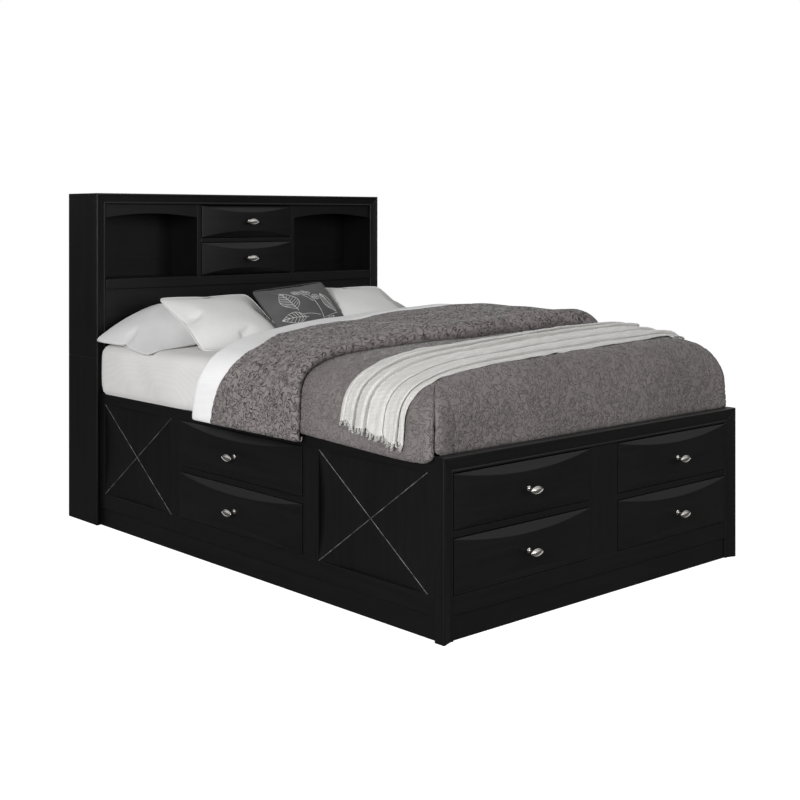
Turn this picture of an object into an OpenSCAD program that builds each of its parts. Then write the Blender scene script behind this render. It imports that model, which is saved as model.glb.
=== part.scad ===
// Queen platform bed with a bookcase headboard and ten storage drawers.
// Lengths are in millimetres. X runs across the bed, Y from the foot to the
// head and Z up. The origin is on the floor under the middle of the bed.
// Inside the modules, Y is counted from the outer face of the footboard.

/* [Headboard] */
// Overall width of the headboard
head_w = 1664; // [1650:1:1690]
// Height of the headboard
head_h = 1467; // [1460:1:1520]
// Distance from the footboard's outer face to the headboard's front face
inner_len = 2160; // [2140:1:2200]
// Depth of the headboard unit
head_d = 254; // [250:1:300]
// Width of the headboard's frame moulding
head_mould = 48; // [44:1:52]
// Height of the cubby floor above the ground
shelf_z = 1084; // [1080:1:1088]
// Half width of the bay that holds the two small drawers
bay_half = 266; // [240:1:300]
// Rise of the arch in each valance
arch_rise = 20; // [8:1:30]

/* [Footboard] */
// Overall width of the footboard
foot_w = 1650; // [1640:1:1656]
// Height of the footboard
foot_h = 596; // [594:1:620]
// Thickness of the corner posts and top rail
foot_t = 42; // [40:1:42]
// Width of the footboard's frame moulding
foot_mould = 57; // [55:1:57]
// Half width of the centre stile between the drawer columns
stile_half = 80; // [60:1:100]

/* [Side frames] */
// Distance between the outer faces of the two side frames
side_w = 1626; // [1620:1:1630]
// Height of the side frames' top edge
rail_z = 582; // [580:1:590]
// Thickness of the side frame boards
frame_t = 22; // [20:1:24]
// Where the side drawers' opening begins, from the foot
side_y0 = 731; // [720:1:740]
// Where the side drawers' opening ends, from the foot
side_y1 = 1522; // [1500:1:1530]
// Depth of the scoops at the rim of the X panels
scoop = 14; // [6:1:16]

// Width of the joint line between neighbouring boards
joint = 0.1; // [0.05:0.05:0.4]

/* [Drawers] */
// How far a drawer front bows out at its middle
bow = 16; // [8:1:18]
// Height of the bevel at the middle of a drawer front
bevel = 31; // [15:1:40]
// Thickness of a drawer front at its ends
front_t = 20; // [18:1:24]
// Gap around each drawer front
reveal = 2; // [1:0.5:3]
// Thickness of the drawer box boards
box_t = 12; // [9:1:15]
// Distance that the knob stands off the drawer front
knob_out = 42; // [30:1:50]
// Length of the knob's pointed oval head
knob_l = 64; // [50:1:72]
// Height of the knob's pointed oval head
knob_h = 27; // [20:1:30]

/* [Bedding] */
// Width of the mattress
mat_w = 1524; // [1500:1:1524]
// Top of the mattress
mat_top = 797; // [780:1:800]
// Height of the duvet's lower edge along the sides
duvet_z = 547; // [545:1:560]

/* [Hidden] */
head_y = inner_len;
back_y = inner_len + head_d;
mould_y = head_y + 20;
y_mid = (back_y + 12 - bow - knob_out) / 2;
frame_out = side_w / 2;
frame_in = frame_out - frame_t;
frame_end = head_y + 3;
post_in = foot_w / 2 - foot_mould;
top_in = foot_h - foot_mould;
low_z0 = 144;
low_z1 = 330;
up_z0 = 353;
up_z1 = top_in;
case_top = 540;
slat_z = 560;
slat_t = 18;
hb_half = head_w / 2;
hb_in = hb_half - head_mould;
side_t = 30;
bay_out = bay_half + 24;
cap_z = head_h - 24;
rear_y = back_y - 10;
small_lo0 = shelf_z;
small_lo1 = 1241;
small_hi0 = 1262;
small_hi1 = 1417;
run_gap = 13;

// Moves the foot-based coordinates to the bed's own origin.
module bed() { translate([0, -y_mid, 0]) children(); }

// A board given by its lowest and highest corners. Each face that meets
// another board stands back by half the joint line, but not on the floor.
module board(x0, x1, y0, y1, z0, z1) {
    g = joint / 2;
    zb = z0 == 0 ? 0 : z0 + g;
    translate([x0 + g, y0 + g, zb]) cube([x1 - x0 - joint, y1 - y0 - joint, z1 - g - zb]);
}

// The children and their mirror image on the other side of the bed.
module both() { children(); mirror([1, 0, 0]) children(); }

// Colours of the finished surfaces
module painted() { color([0.03, 0.03, 0.033]) children(); }
module plain_wood() { color([0.72, 0.58, 0.42]) children(); }
module metal() { color([0.72, 0.72, 0.72]) children(); }

// ---------------------------------------------------------------- headboard

// Outline of a frame moulding: u runs inwards from the outer edge, v forwards.
function mould_profile(w, t, drop) = [
    [0, 0], [0, t - 2.5], [2.5, t], [w * 0.18, t], [w * 0.25, t - 3],
    [w * 0.8, t - drop + 2], [w * 0.86, t - drop + 4], [w * 0.95, t - drop + 4],
    [w, t - drop], [w, 0]
];

// Three mitred lengths of moulding around the top and both sides.
module frame_moulding(half, h, w, t, drop, yb) {
    p = mould_profile(w, t, drop);
    both() intersection() {
        translate([0, 0, -1]) linear_extrude(height = h + 2)
            polygon([for (q = p) [-half + q[0], yb - q[1]]]);
        translate([0, yb + 1, 0]) rotate([90, 0, 0]) linear_extrude(height = t + 2)
            polygon([[-half, 0], [-half + w, 0], [-half + w, h - w - joint], [-half, h - joint]]);
    }
    intersection() {
        translate([-half - 1, 0, 0]) rotate([90, 0, 90]) linear_extrude(height = 2 * half + 2)
            polygon([for (q = p) [yb - q[1], h - q[0]]]);
        translate([0, yb + 1, 0]) rotate([90, 0, 0]) linear_extrude(height = t + 2)
            polygon([[-half, h], [-half + w, h - w], [half - w, h - w], [half, h]]);
    }
}

module headboard_side() {
    board(-hb_half, -hb_half + side_t, mould_y, back_y, 0, 737);
    board(-hb_half, -hb_half + side_t, mould_y, back_y, 737, cap_z);
}
module headboard_side_left() { painted() bed() headboard_side(); }
module headboard_side_right() { painted() bed() mirror([1, 0, 0]) headboard_side(); }
module hutch_top() { painted() bed() board(-hb_half, hb_half, mould_y, back_y, cap_z, head_h); }
module hutch_shelf() {
    painted() bed() board(-hb_half + side_t, hb_half - side_t, mould_y, rear_y, shelf_z - 22, shelf_z);
}
module hutch_partitions() {
    painted() bed() {
        both() board(bay_half, bay_out, mould_y, rear_y, shelf_z, cap_z);
        board(-bay_half, bay_half, mould_y, rear_y, small_lo1, small_hi0);
        board(-bay_half, bay_half, mould_y, mould_y + 16, small_hi1, cap_z);
    }
}
module hutch_back_panel() {
    painted() bed() board(-hb_half + side_t, hb_half - side_t, rear_y, rear_y + 6, 60, cap_z);
}

// Board over each cubby with a shallow arch cut in its lower edge
module hutch_valances() {
    x0 = bay_out;
    x1 = hb_in;
    half = (x1 - x0) / 2;
    r = (half * half + arch_rise * arch_rise) / (2 * arch_rise);
    z_arch = 1357 + arch_rise;
    painted() bed() both() translate([0, mould_y + 14, 0]) rotate([90, 0, 0])
        linear_extrude(height = 14) difference() {
            translate([x0, 1357]) square([hb_half - side_t - x0, cap_z - 1357]);
            translate([(x0 + x1) / 2, z_arch - r]) circle(r = r, $fn = 480);
        }
}
module headboard_moulding() {
    painted() bed() frame_moulding(hb_half, head_h, head_mould, 20, 9, mould_y);
}
module headboard_apron() {
    painted() bed() board(-hb_in, hb_in, mould_y - 16, mould_y, shelf_z - 44, shelf_z);
}

// Recessed panel behind the mattress, with the two bolting cleats
module headboard_lower_panel() {
    painted() bed() {
        board(-hb_in, hb_in, head_y + 12, head_y + 24, 90, shelf_z - 44);
        both() board(hb_in - 40, hb_in, head_y, head_y + 12, 220, 500);
    }
}

// --------------------------------------------------------------- side frames

module face_frame_right() {
    a = frame_in;
    b = frame_out;
    board(a, b, foot_t, frame_end, top_in, rail_z);
    board(a, b, foot_t, frame_end, 79, low_z0 - 2);
    // stiles, foot to head
    board(a, b, foot_t, 84, low_z0 - 2, top_in);
    board(a, b, side_y0 - 89, side_y0 - 76, low_z0 - 2, top_in);
    board(a, b, side_y0 - 76, side_y0, low_z0 - 2, top_in);
    board(a, b, side_y1, side_y1 + 10, low_z0 - 2, top_in);
    board(a, b, side_y1 + 10, side_y1 + 67, low_z0 - 2, top_in);
    board(a, b, head_y - 37, frame_end, low_z0 - 2, top_in);
    // rails in the drawer opening
    board(a, b, side_y0, side_y1, low_z1, up_z0);
    board(a, b, side_y0, side_y1, low_z0 - 2, low_z0);
    // ledger that carries the slats
    board(a - 20, a, foot_t + 3, head_y, case_top + 1, slat_z);
}
module left_face_frame() { painted() bed() mirror([1, 0, 0]) face_frame_right(); }
module right_face_frame() { painted() bed() face_frame_right(); }

// Scooped panel: four hollows that meet in a raised X.
// Local X is the width, Y the height, Z the outward direction.
module x_panel(w, h, t) {
    n = 16;
    s = [for (i = [0:n - 1]) -1 + 2 * i / n];
    rim = concat(
        [for (u = s) [u * w / 2, -h / 2, -scoop * (1 - u * u)]],
        [for (u = s) [w / 2, u * h / 2, -scoop * (1 - u * u)]],
        [for (u = s) [-u * w / 2, h / 2, -scoop * (1 - u * u)]],
        [for (u = s) [-w / 2, -u * h / 2, -scoop * (1 - u * u)]]);
    m = len(rim);
    back = [for (p = rim) [p[0], p[1], -t]];
    polyhedron(
        points = concat(rim, back, [[0, 0, 0], [0, 0, -t]]),
        faces = concat(
            [for (i = [0:m - 1]) [2 * m, (i + 1) % m, i]],
            [for (i = [0:m - 1]) [2 * m + 1, m + i, m + (i + 1) % m]],
            [for (i = [0:m - 1]) [i, (i + 1) % m, m + (i + 1) % m]],
            [for (i = [0:m - 1]) [i, m + (i + 1) % m, m + i]]),
        convexity = 4);
}
module cross_panels() {
    z0 = low_z0 - 2;
    painted() bed() both() for (r = [[84, side_y0 - 89], [side_y1 + 67, head_y - 37]])
        translate([frame_out, (r[0] + r[1]) / 2, (z0 + top_in) / 2])
            rotate([90, 0, 90]) x_panel(r[1] - r[0], top_in - z0, 20);
}
module side_case() {
    board(236, frame_in, side_y0 - 18, side_y0, 79, case_top);
    board(236, frame_in, side_y1, side_y1 + 18, 79, case_top);
    board(236, 248, side_y0, side_y1, 79, case_top);
}
module left_drawer_case() { plain_wood() bed() mirror([1, 0, 0]) side_case(); }
module right_drawer_case() { plain_wood() bed() side_case(); }
module side_plinths() {
    painted() bed() both() board(frame_in - 2, frame_out - 4, foot_t, frame_end, 0, 77);
}

// ----------------------------------------------------------------- footboard

module footboard_moulding() {
    painted() bed() frame_moulding(foot_w / 2, foot_h, foot_mould, foot_t, 15, foot_t);
}
module footboard_face_frame() {
    painted() bed() {
        board(-post_in, post_in, 14, 34, 80, low_z0);
        board(-stile_half, stile_half, 14, 34, low_z0, top_in);
        both() board(stile_half, post_in, 14, 34, low_z1, up_z0);
    }
}
module footboard_plinth() { painted() bed() board(-post_in, post_in, 18, 38, 0, 78); }
module footboard_case() {
    plain_wood() bed() both() {
        board(post_in, post_in + 12, foot_t + 3, 470, 80, case_top);
        board(stile_half - 18, stile_half, 34, 470, 80, top_in - 1);
        board(stile_half, post_in, 458, 470, 80, case_top);
    }
}

// ------------------------------------------------------- foundation and joints

module slats() {
    n = 14;
    plain_wood() bed() for (i = [0:n - 1]) {
        y = 75 + i * (head_y - 175) / (n - 1);
        board(-frame_in, frame_in, y, y + 75, slat_z, slat_z + slat_t);
    }
}
module centre_beam() {
    plain_wood() bed() {
        board(-22, 22, 470, head_y + 12, slat_z - 60, slat_z);
        for (y = [560, 1120, 1680, 2080]) board(-22, 22, y, y + 44, 0, slat_z - 60);
    }
}

// Channel section of a drawer slide; it opens towards +X.
module channel(len) {
    translate([0, len, 0]) rotate([90, 0, 0]) linear_extrude(height = len)
        polygon([[0, -22], [12, -22], [12, -20.8], [1.2, -20.8], [1.2, 20.8], [12, 20.8], [12, 22], [0, 22]]);
}

// Two channels facing each other across an opening of width w; they run to +Y.
module channel_pair(w, len) {
    translate([-w / 2, 0, 0]) channel(len);
    mirror([1, 0, 0]) translate([-w / 2, 0, 0]) channel(len);
}
module drawer_runners() {
    metal() bed() {
        for (z = [low_z0 + 86, up_z0 + 86]) {
            both() translate([(stile_half + post_in) / 2, 50, z]) channel_pair(post_in - stile_half, 396);
            both() translate([frame_in - 6, (side_y0 + side_y1) / 2, z]) rotate([0, 0, 90])
                channel_pair(side_y1 - side_y0, 500);
        }
        for (z = [small_lo0 + 72, small_hi0 + 70])
            translate([0, mould_y + 22, z]) channel_pair(2 * bay_half, 180);
    }
}

// Angle irons that tie the side frames to the headboard and footboard
module angle_iron(h) {
    linear_extrude(height = h) polygon([[0, 0], [60, 0], [60, 3], [3, 3], [3, 23], [0, 23]]);
}
module hex_head() { rotate([0, -90, 0]) cylinder(r = 8, h = 5, $fn = 6); }
module rail_brackets() {
    metal() bed() both() {
        translate([frame_in, foot_t, 200]) rotate([0, 0, 90]) angle_iron(260);
        for (z = [240, 330, 420]) translate([frame_in - 3, foot_t + 35, z]) hex_head();
        translate([frame_in, head_y, 240]) mirror([0, 1, 0]) rotate([0, 0, 90]) linear_extrude(height = 240)
            polygon([[0, 0], [60, 0], [60, 3], [3, 3], [3, 46], [0, 46]]);
        for (z = [280, 360, 440]) {
            translate([frame_in - 3, head_y - 35, z]) hex_head();
            translate([frame_in - 27, head_y - 3, z]) rotate([90, 0, 0]) cylinder(r = 8, h = 5, $fn = 6);
        }
    }
}

// ------------------------------------------------------------------- drawers
// A drawer is drawn with its front facing -Y, its back face on Y = 0 and its
// lower edge on Z = 0; w and h are the size of the front.

// Bowed front with a crescent bevel along its top and bottom edges
module drawer_front(w, h) {
    deep = front_t + bow;
    rise = bow - 0.6;
    r = (w * w / 4 + rise * rise) / (2 * rise);
    difference() {
        intersection() {
            translate([-w / 2, -deep, 0]) cube([w, deep, h]);
            translate([0, r - deep, -1]) cylinder(r = r, h = h + 2, $fn = 720);
            translate([-w / 2 - 1, 0, 0]) rotate([90, 0, 90]) linear_extrude(height = w + 2)
                polygon([[0, 0], [-front_t, 0], [-deep, bevel], [-deep, h - bevel], [-front_t, h], [0, h]]);
        }
        translate([0, 1, h / 2]) rotate([90, 0, 0]) cylinder(r = 2.5, h = deep + 2, $fn = 32);
    }
}

// Box behind the front: two sides, inner front, back and bottom
module drawer_box(w, d, z0, bh, kz) {
    t = box_t;
    a = w / 2 - t;
    difference() {
        board(-a, a, 0, t, z0, z0 + bh);
        translate([0, t + 1, kz]) rotate([90, 0, 0]) cylinder(r = 2.5, h = t + 2, $fn = 32);
    }
    board(-a, a, d - t, d, z0, z0 + bh);
    board(-a, a, t, d - t, z0 + 6, z0 + 14);
    board(-w / 2, -a, 0, d, z0, z0 + bh);
    board(a, w / 2, 0, d, z0, z0 + bh);
}

// Pointed oval knob on its stem and rose, with the screw that holds it
module knob_and_screw() {
    deep = front_t + bow;
    hr = (knob_l * knob_l / 4 + knob_h * knob_h / 4) / knob_h;
    back = knob_out - 11;
    dome = (32 * 32 + 5 * 5) / 10;
    translate([0, -deep, 0]) rotate([90, 0, 0]) {
        intersection() {
            translate([0, 0, back]) linear_extrude(height = 11) intersection() {
                translate([0, hr - knob_h / 2]) circle(r = hr, $fn = 128);
                translate([0, knob_h / 2 - hr]) circle(r = hr, $fn = 128);
            }
            translate([0, 0, knob_out - dome]) sphere(r = dome, $fn = 256);
        }
        cylinder(r = 9, h = 3, $fn = 48);
        translate([0, 0, 3]) cylinder(r = 4.5, h = back - 3, $fn = 48);
    }
    translate([0, box_t + 2, 0]) rotate([90, 0, 0]) {
        cylinder(r = 4.5, h = 2, $fn = 32);
        translate([0, 0, 2]) cylinder(r = 2, h = box_t + deep, $fn = 32);
    }
}

// Moving bars of the two slides, on the sides of a box of width w
module slide_bars(w, len, z) {
    for (m = [0, 1]) mirror([m, 0, 0]) translate([w / 2, 20, z - 17]) cube([10.5, len, 34]);
}

module d_front(w, h) { painted() drawer_front(w, h); }
module d_box(w, d, z0, bh, kz) { plain_wood() drawer_box(w, d, z0, bh, kz); }
module d_metal(w, len, kz, bz) { metal() { translate([0, 0, kz]) knob_and_screw(); slide_bars(w, len, bz); } }

// Where each group of drawers sits: 0 is the lower and 1 the upper row.
foot_fw = post_in - stile_half - 2 * reveal;
foot_fh = low_z1 - low_z0 - 2 * reveal;
foot_bw = post_in - stile_half - 2 * run_gap;
side_fw = side_y1 - side_y0 - 2 * reveal;
side_bw = side_y1 - side_y0 - 2 * run_gap;
head_fw = 2 * bay_half - 2 * reveal;
head_bw = 2 * bay_half - 2 * run_gap;
big_box_h = 140;
module at_foot(side, row) {
    bed() translate([side * (stile_half + post_in) / 2, 12 + front_t, (row == 0 ? low_z0 : up_z0) + reveal]) children();
}
module at_side(side, row) {
    bed() translate([side * (frame_out + 2 - front_t), (side_y0 + side_y1) / 2, (row == 0 ? low_z0 : up_z0) + reveal])
        rotate([0, 0, side * 90]) children();
}
module at_head(row) {
    bed() translate([0, mould_y - 2 + front_t, (row == 0 ? small_lo0 + 1 : small_hi0) + reveal]) children();
}
module foot_front() { d_front(foot_fw, foot_fh); }
module foot_box() { d_box(foot_bw, 418, 10, big_box_h, foot_fh / 2); }
module foot_metal() { d_metal(foot_bw, 390, foot_fh / 2, 84); }
module side_front() { d_front(side_fw, foot_fh); }
module side_box() { d_box(side_bw, 520, 10, big_box_h, foot_fh / 2); }
module side_metal() { d_metal(side_bw, 490, foot_fh / 2, 84); }
head_fh0 = small_lo1 - small_lo0 - 2 * reveal - 1;
head_fh1 = small_hi1 - small_hi0 - 2 * reveal;
module head_box(h) { d_box(head_bw, 194, 10, 118, h / 2); }

module head_upper_front() { at_head(1) d_front(head_fw, head_fh1); }
module head_upper_box() { at_head(1) head_box(head_fh1); }
module head_upper_hardware() { at_head(1) d_metal(head_bw, 168, head_fh1 / 2, 68); }
module head_lower_front() { at_head(0) d_front(head_fw, head_fh0); }
module head_lower_box() { at_head(0) head_box(head_fh0); }
module head_lower_hardware() { at_head(0) d_metal(head_bw, 168, head_fh0 / 2, 69); }
module left_upper_front() { at_side(-1, 1) side_front(); }
module left_upper_box() { at_side(-1, 1) side_box(); }
module left_upper_hardware() { at_side(-1, 1) side_metal(); }
module left_lower_front() { at_side(-1, 0) side_front(); }
module left_lower_box() { at_side(-1, 0) side_box(); }
module left_lower_hardware() { at_side(-1, 0) side_metal(); }
module right_upper_front() { at_side(1, 1) side_front(); }
module right_upper_box() { at_side(1, 1) side_box(); }
module right_upper_hardware() { at_side(1, 1) side_metal(); }
module right_lower_front() { at_side(1, 0) side_front(); }
module right_lower_box() { at_side(1, 0) side_box(); }
module right_lower_hardware() { at_side(1, 0) side_metal(); }
module foot_left_upper_front() { at_foot(-1, 1) foot_front(); }
module foot_left_upper_box() { at_foot(-1, 1) foot_box(); }
module foot_left_upper_hardware() { at_foot(-1, 1) foot_metal(); }
module foot_left_lower_front() { at_foot(-1, 0) foot_front(); }
module foot_left_lower_box() { at_foot(-1, 0) foot_box(); }
module foot_left_lower_hardware() { at_foot(-1, 0) foot_metal(); }
module foot_right_upper_front() { at_foot(1, 1) foot_front(); }
module foot_right_upper_box() { at_foot(1, 1) foot_box(); }
module foot_right_upper_hardware() { at_foot(1, 1) foot_metal(); }
module foot_right_lower_front() { at_foot(1, 0) foot_front(); }
module foot_right_lower_box() { at_foot(1, 0) foot_box(); }
module foot_right_lower_hardware() { at_foot(1, 0) foot_metal(); }

// ------------------------------------------------------------------- bedding

mat_y1 = head_y - 10;
mat_y0 = mat_y1 - 2032;
duvet_x = frame_out + 25;
fold_y = 1480;
throw_y0 = 180;
throw_y1 = 560;
module mattress() {
    color([0.86, 0.86, 0.85]) bed() board(-mat_w / 2, mat_w / 2, mat_y0, mat_y1, slat_z + slat_t, mat_top);
}
module duvet() {
    top = mat_top + 0.3;
    inner = mat_w / 2 + 1;
    color([0.42, 0.39, 0.38]) bed() {
        board(-duvet_x, duvet_x, 50, 780, top, 865);
        board(-duvet_x, duvet_x, 780, fold_y, top, 905);
        board(-mat_w / 2, mat_w / 2, 50, mat_y0 - 0.5, slat_z + slat_t + 3, top);
        both() {
            board(inner, duvet_x, 80, fold_y, rail_z + 1, top);
            board(frame_out + 1.5, duvet_x, 80, fold_y, duvet_z, rail_z + 1);
        }
    }
}
module throw() {
    color([0.85, 0.84, 0.8]) bed() {
        board(-duvet_x - 12, duvet_x - 40, throw_y0, throw_y1, 865.3, 877);
        board(-duvet_x - 12, -duvet_x - 0.3, throw_y0, throw_y1, 560, 865.3);
    }
}

// Cushion lying in the XY plane, thick in the middle and thin at its rim
module cushion(w, h, t) {
    hull() {
        cube([w, h, 12], center = true);
        cube([w * 0.72, h * 0.68, t], center = true);
    }
}
module sleeping_pillows() {
    color([0.9, 0.9, 0.9]) bed() both() translate([-460, 1930, 893]) rotate([18, 0, 0]) cushion(700, 430, 100);
}
module sham_pillows() {
    color([0.85, 0.85, 0.83]) bed() both() translate([-462, 1740, 940]) rotate([20, 0, 0]) cushion(600, 500, 90);
}
module accent_pillow() {
    color([0.3, 0.3, 0.31]) bed() translate([0, 1670, 993]) rotate([30, 0, 0]) cushion(400, 400, 90);
}

headboard_side_left();
headboard_side_right();
hutch_top();
hutch_shelf();
hutch_partitions();
hutch_back_panel();
hutch_valances();
headboard_moulding();
headboard_apron();
headboard_lower_panel();
left_face_frame();
right_face_frame();
cross_panels();
left_drawer_case();
right_drawer_case();
side_plinths();
footboard_moulding();
footboard_face_frame();
footboard_plinth();
footboard_case();
slats();
centre_beam();
drawer_runners();
rail_brackets();
mattress();
duvet();
throw();
sleeping_pillows();
sham_pillows();
accent_pillow();
head_upper_front();
head_upper_box();
head_upper_hardware();
head_lower_front();
head_lower_box();
head_lower_hardware();
left_upper_front();
left_upper_box();
left_upper_hardware();
left_lower_front();
left_lower_box();
left_lower_hardware();
right_upper_front();
right_upper_box();
right_upper_hardware();
right_lower_front();
right_lower_box();
right_lower_hardware();
foot_left_upper_front();
foot_left_upper_box();
foot_left_upper_hardware();
foot_left_lower_front();
foot_left_lower_box();
foot_left_lower_hardware();
foot_right_upper_front();
foot_right_upper_box();
foot_right_upper_hardware();
foot_right_lower_front();
foot_right_lower_box();
foot_right_lower_hardware();
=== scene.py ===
import bpy, bmesh, math
import numpy as np
from mathutils import Vector, Matrix
from mathutils.bvhtree import BVHTree


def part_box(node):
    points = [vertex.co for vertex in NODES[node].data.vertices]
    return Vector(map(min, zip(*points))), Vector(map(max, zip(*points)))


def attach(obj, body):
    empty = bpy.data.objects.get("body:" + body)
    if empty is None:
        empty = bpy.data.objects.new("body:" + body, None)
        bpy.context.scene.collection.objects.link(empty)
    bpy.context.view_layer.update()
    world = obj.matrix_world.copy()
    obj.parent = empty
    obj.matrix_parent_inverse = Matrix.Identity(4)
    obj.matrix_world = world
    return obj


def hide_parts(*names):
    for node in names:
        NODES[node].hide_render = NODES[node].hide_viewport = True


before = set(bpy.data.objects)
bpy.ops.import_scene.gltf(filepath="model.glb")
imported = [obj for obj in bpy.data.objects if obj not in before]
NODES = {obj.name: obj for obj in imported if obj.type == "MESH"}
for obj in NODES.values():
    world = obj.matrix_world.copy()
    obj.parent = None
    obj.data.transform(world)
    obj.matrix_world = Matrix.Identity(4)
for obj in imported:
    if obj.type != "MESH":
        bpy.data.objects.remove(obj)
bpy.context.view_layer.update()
COL = bpy.context.scene.collection
YM = 1.184                      # the footboard's outer face lies at y = -YM
BED = "bed"


# ------------------------------------------------------------------ node helpers
class Mat:
    """Small helper to wire a procedural material."""

    def __init__(self, name):
        self.m = bpy.data.materials.new(name)
        self.m.use_nodes = True
        self.t = self.m.node_tree
        self.t.nodes.clear()
        self.out = self.t.nodes.new("ShaderNodeOutputMaterial")
        self.b = self.t.nodes.new("ShaderNodeBsdfPrincipled")
        self.t.links.new(self.b.outputs[0], self.out.inputs[0])
        self.co = self.t.nodes.new("ShaderNodeTexCoord").outputs["Object"]

    def node(self, kind, **kw):
        n = self.t.nodes.new(kind)
        for k, v in kw.items():
            if k.startswith("i_"):
                n.inputs[k[2:].replace("_", " ")].default_value = v
            else:
                setattr(n, k, v)
        return n

    def link(self, a, b):
        self.t.links.new(a, b)

    def mapping(self, scale, src=None, rot=(0, 0, 0)):
        n = self.node("ShaderNodeMapping")
        n.inputs["Scale"].default_value = scale
        n.inputs["Rotation"].default_value = rot
        self.link(src or self.co, n.inputs["Vector"])
        return n.outputs[0]

    def noise(self, scale, detail=4, rough=0.55, vec=None, dist=0.0):
        n = self.node("ShaderNodeTexNoise")
        n.inputs["Scale"].default_value = scale
        n.inputs["Detail"].default_value = detail
        n.inputs["Roughness"].default_value = rough
        n.inputs["Distortion"].default_value = dist
        self.link(vec or self.co, n.inputs["Vector"])
        return n.outputs["Fac"]

    def ramp(self, fac, stops):
        n = self.node("ShaderNodeValToRGB")
        e = n.color_ramp.elements
        while len(e) < len(stops):
            e.new(0.5)
        for i, (p, c) in enumerate(stops):
            e[i].position = p
            e[i].color = (*c, 1) if len(c) == 3 else c
        self.link(fac, n.inputs[0])
        return n.outputs[0]

    def rng(self, fac, a, b, lo=0.0, hi=1.0):
        n = self.node("ShaderNodeMapRange")
        n.inputs["From Min"].default_value = lo
        n.inputs["From Max"].default_value = hi
        n.inputs["To Min"].default_value = a
        n.inputs["To Max"].default_value = b
        self.link(fac, n.inputs["Value"])
        return n.outputs[0]

    def math(self, op, a, b=None, c=None):
        n = self.node("ShaderNodeMath", operation=op)
        for i, v in enumerate((a, b, c)):
            if v is None:
                continue
            if isinstance(v, (int, float)):
                n.inputs[i].default_value = v
            else:
                self.link(v, n.inputs[i])
        return n.outputs[0]

    def bump(self, height, dist, strength=1.0, normal=None):
        n = self.node("ShaderNodeBump")
        n.inputs["Strength"].default_value = strength
        n.inputs["Distance"].default_value = dist
        self.link(height, n.inputs["Height"])
        if normal is not None:
            self.link(normal, n.inputs["Normal"])
        return n.outputs[0]

    def set(self, **kw):
        for k, v in kw.items():
            s = self.b.inputs[k.replace("_", " ")]
            if hasattr(v, "links") or isinstance(v, bpy.types.NodeSocket):
                self.link(v, s)
            else:
                s.default_value = v
        return self.m


def painted(axis):
    """Satin black lacquer over fine wood grain that runs along the given axis."""
    m = Mat("satin_black_" + "xyz"[axis])
    sc = [170.0, 170.0, 170.0]
    sc[axis] = 5.0
    grain = m.noise(1.0, 5, 0.62, m.mapping(sc))
    sc2 = [46.0, 46.0, 46.0]
    sc2[axis] = 1.3
    broad = m.noise(1.0, 3, 0.5, m.mapping(sc2), 0.6)
    cloud = m.noise(3.1, 3, 0.5)
    col = m.ramp(m.math("MULTIPLY_ADD", grain, 0.35, m.math("MULTIPLY", broad, 0.65)),
                 [(0.34, (0.0022, 0.0022, 0.0024)), (0.66, (0.0050, 0.0048, 0.0049))])
    rough = m.math("ADD", m.rng(cloud, 0.36, 0.46, 0.3, 0.7), m.rng(grain, -0.03, 0.03, 0.3, 0.7))
    nrm = m.bump(m.math("MULTIPLY_ADD", broad, 0.6, grain), 0.00022, 0.42)
    return m.set(Base_Color=col, Roughness=rough, Normal=nrm, Specular_IOR_Level=0.21)


def plain_wood(axis):
    m = Mat("clear_pine_" + "xyz"[axis])
    sc = [26.0, 26.0, 26.0]
    sc[axis] = 1.6
    rings = m.noise(1.0, 4, 0.55, m.mapping(sc), 1.2)
    sc2 = [240.0, 240.0, 240.0]
    sc2[axis] = 7.0
    fine = m.noise(1.0, 4, 0.6, m.mapping(sc2))
    mix = m.math("MULTIPLY_ADD", fine, 0.3, m.math("MULTIPLY", rings, 0.7))
    col = m.ramp(mix, [(0.3, (0.36, 0.225, 0.115)), (0.5, (0.52, 0.36, 0.2)), (0.72, (0.62, 0.46, 0.28))])
    return m.set(Base_Color=col, Roughness=m.rng(fine, 0.5, 0.66), Normal=m.bump(mix, 0.0004, 0.5))


def metal(name, base, rough, axis):
    m = Mat(name)
    sc = [900.0, 900.0, 900.0]
    sc[axis] = 24.0
    brush = m.noise(1.0, 3, 0.6, m.mapping(sc))
    cloud = m.noise(60.0, 2)
    col = m.ramp(cloud, [(0.3, tuple(c * 0.9 for c in base)), (0.7, base)])
    return m.set(Base_Color=col, Metallic=1.0, Roughness=m.rng(brush, rough - 0.05, rough + 0.07),
                 Normal=m.bump(brush, 0.00006, 0.35))


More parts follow.
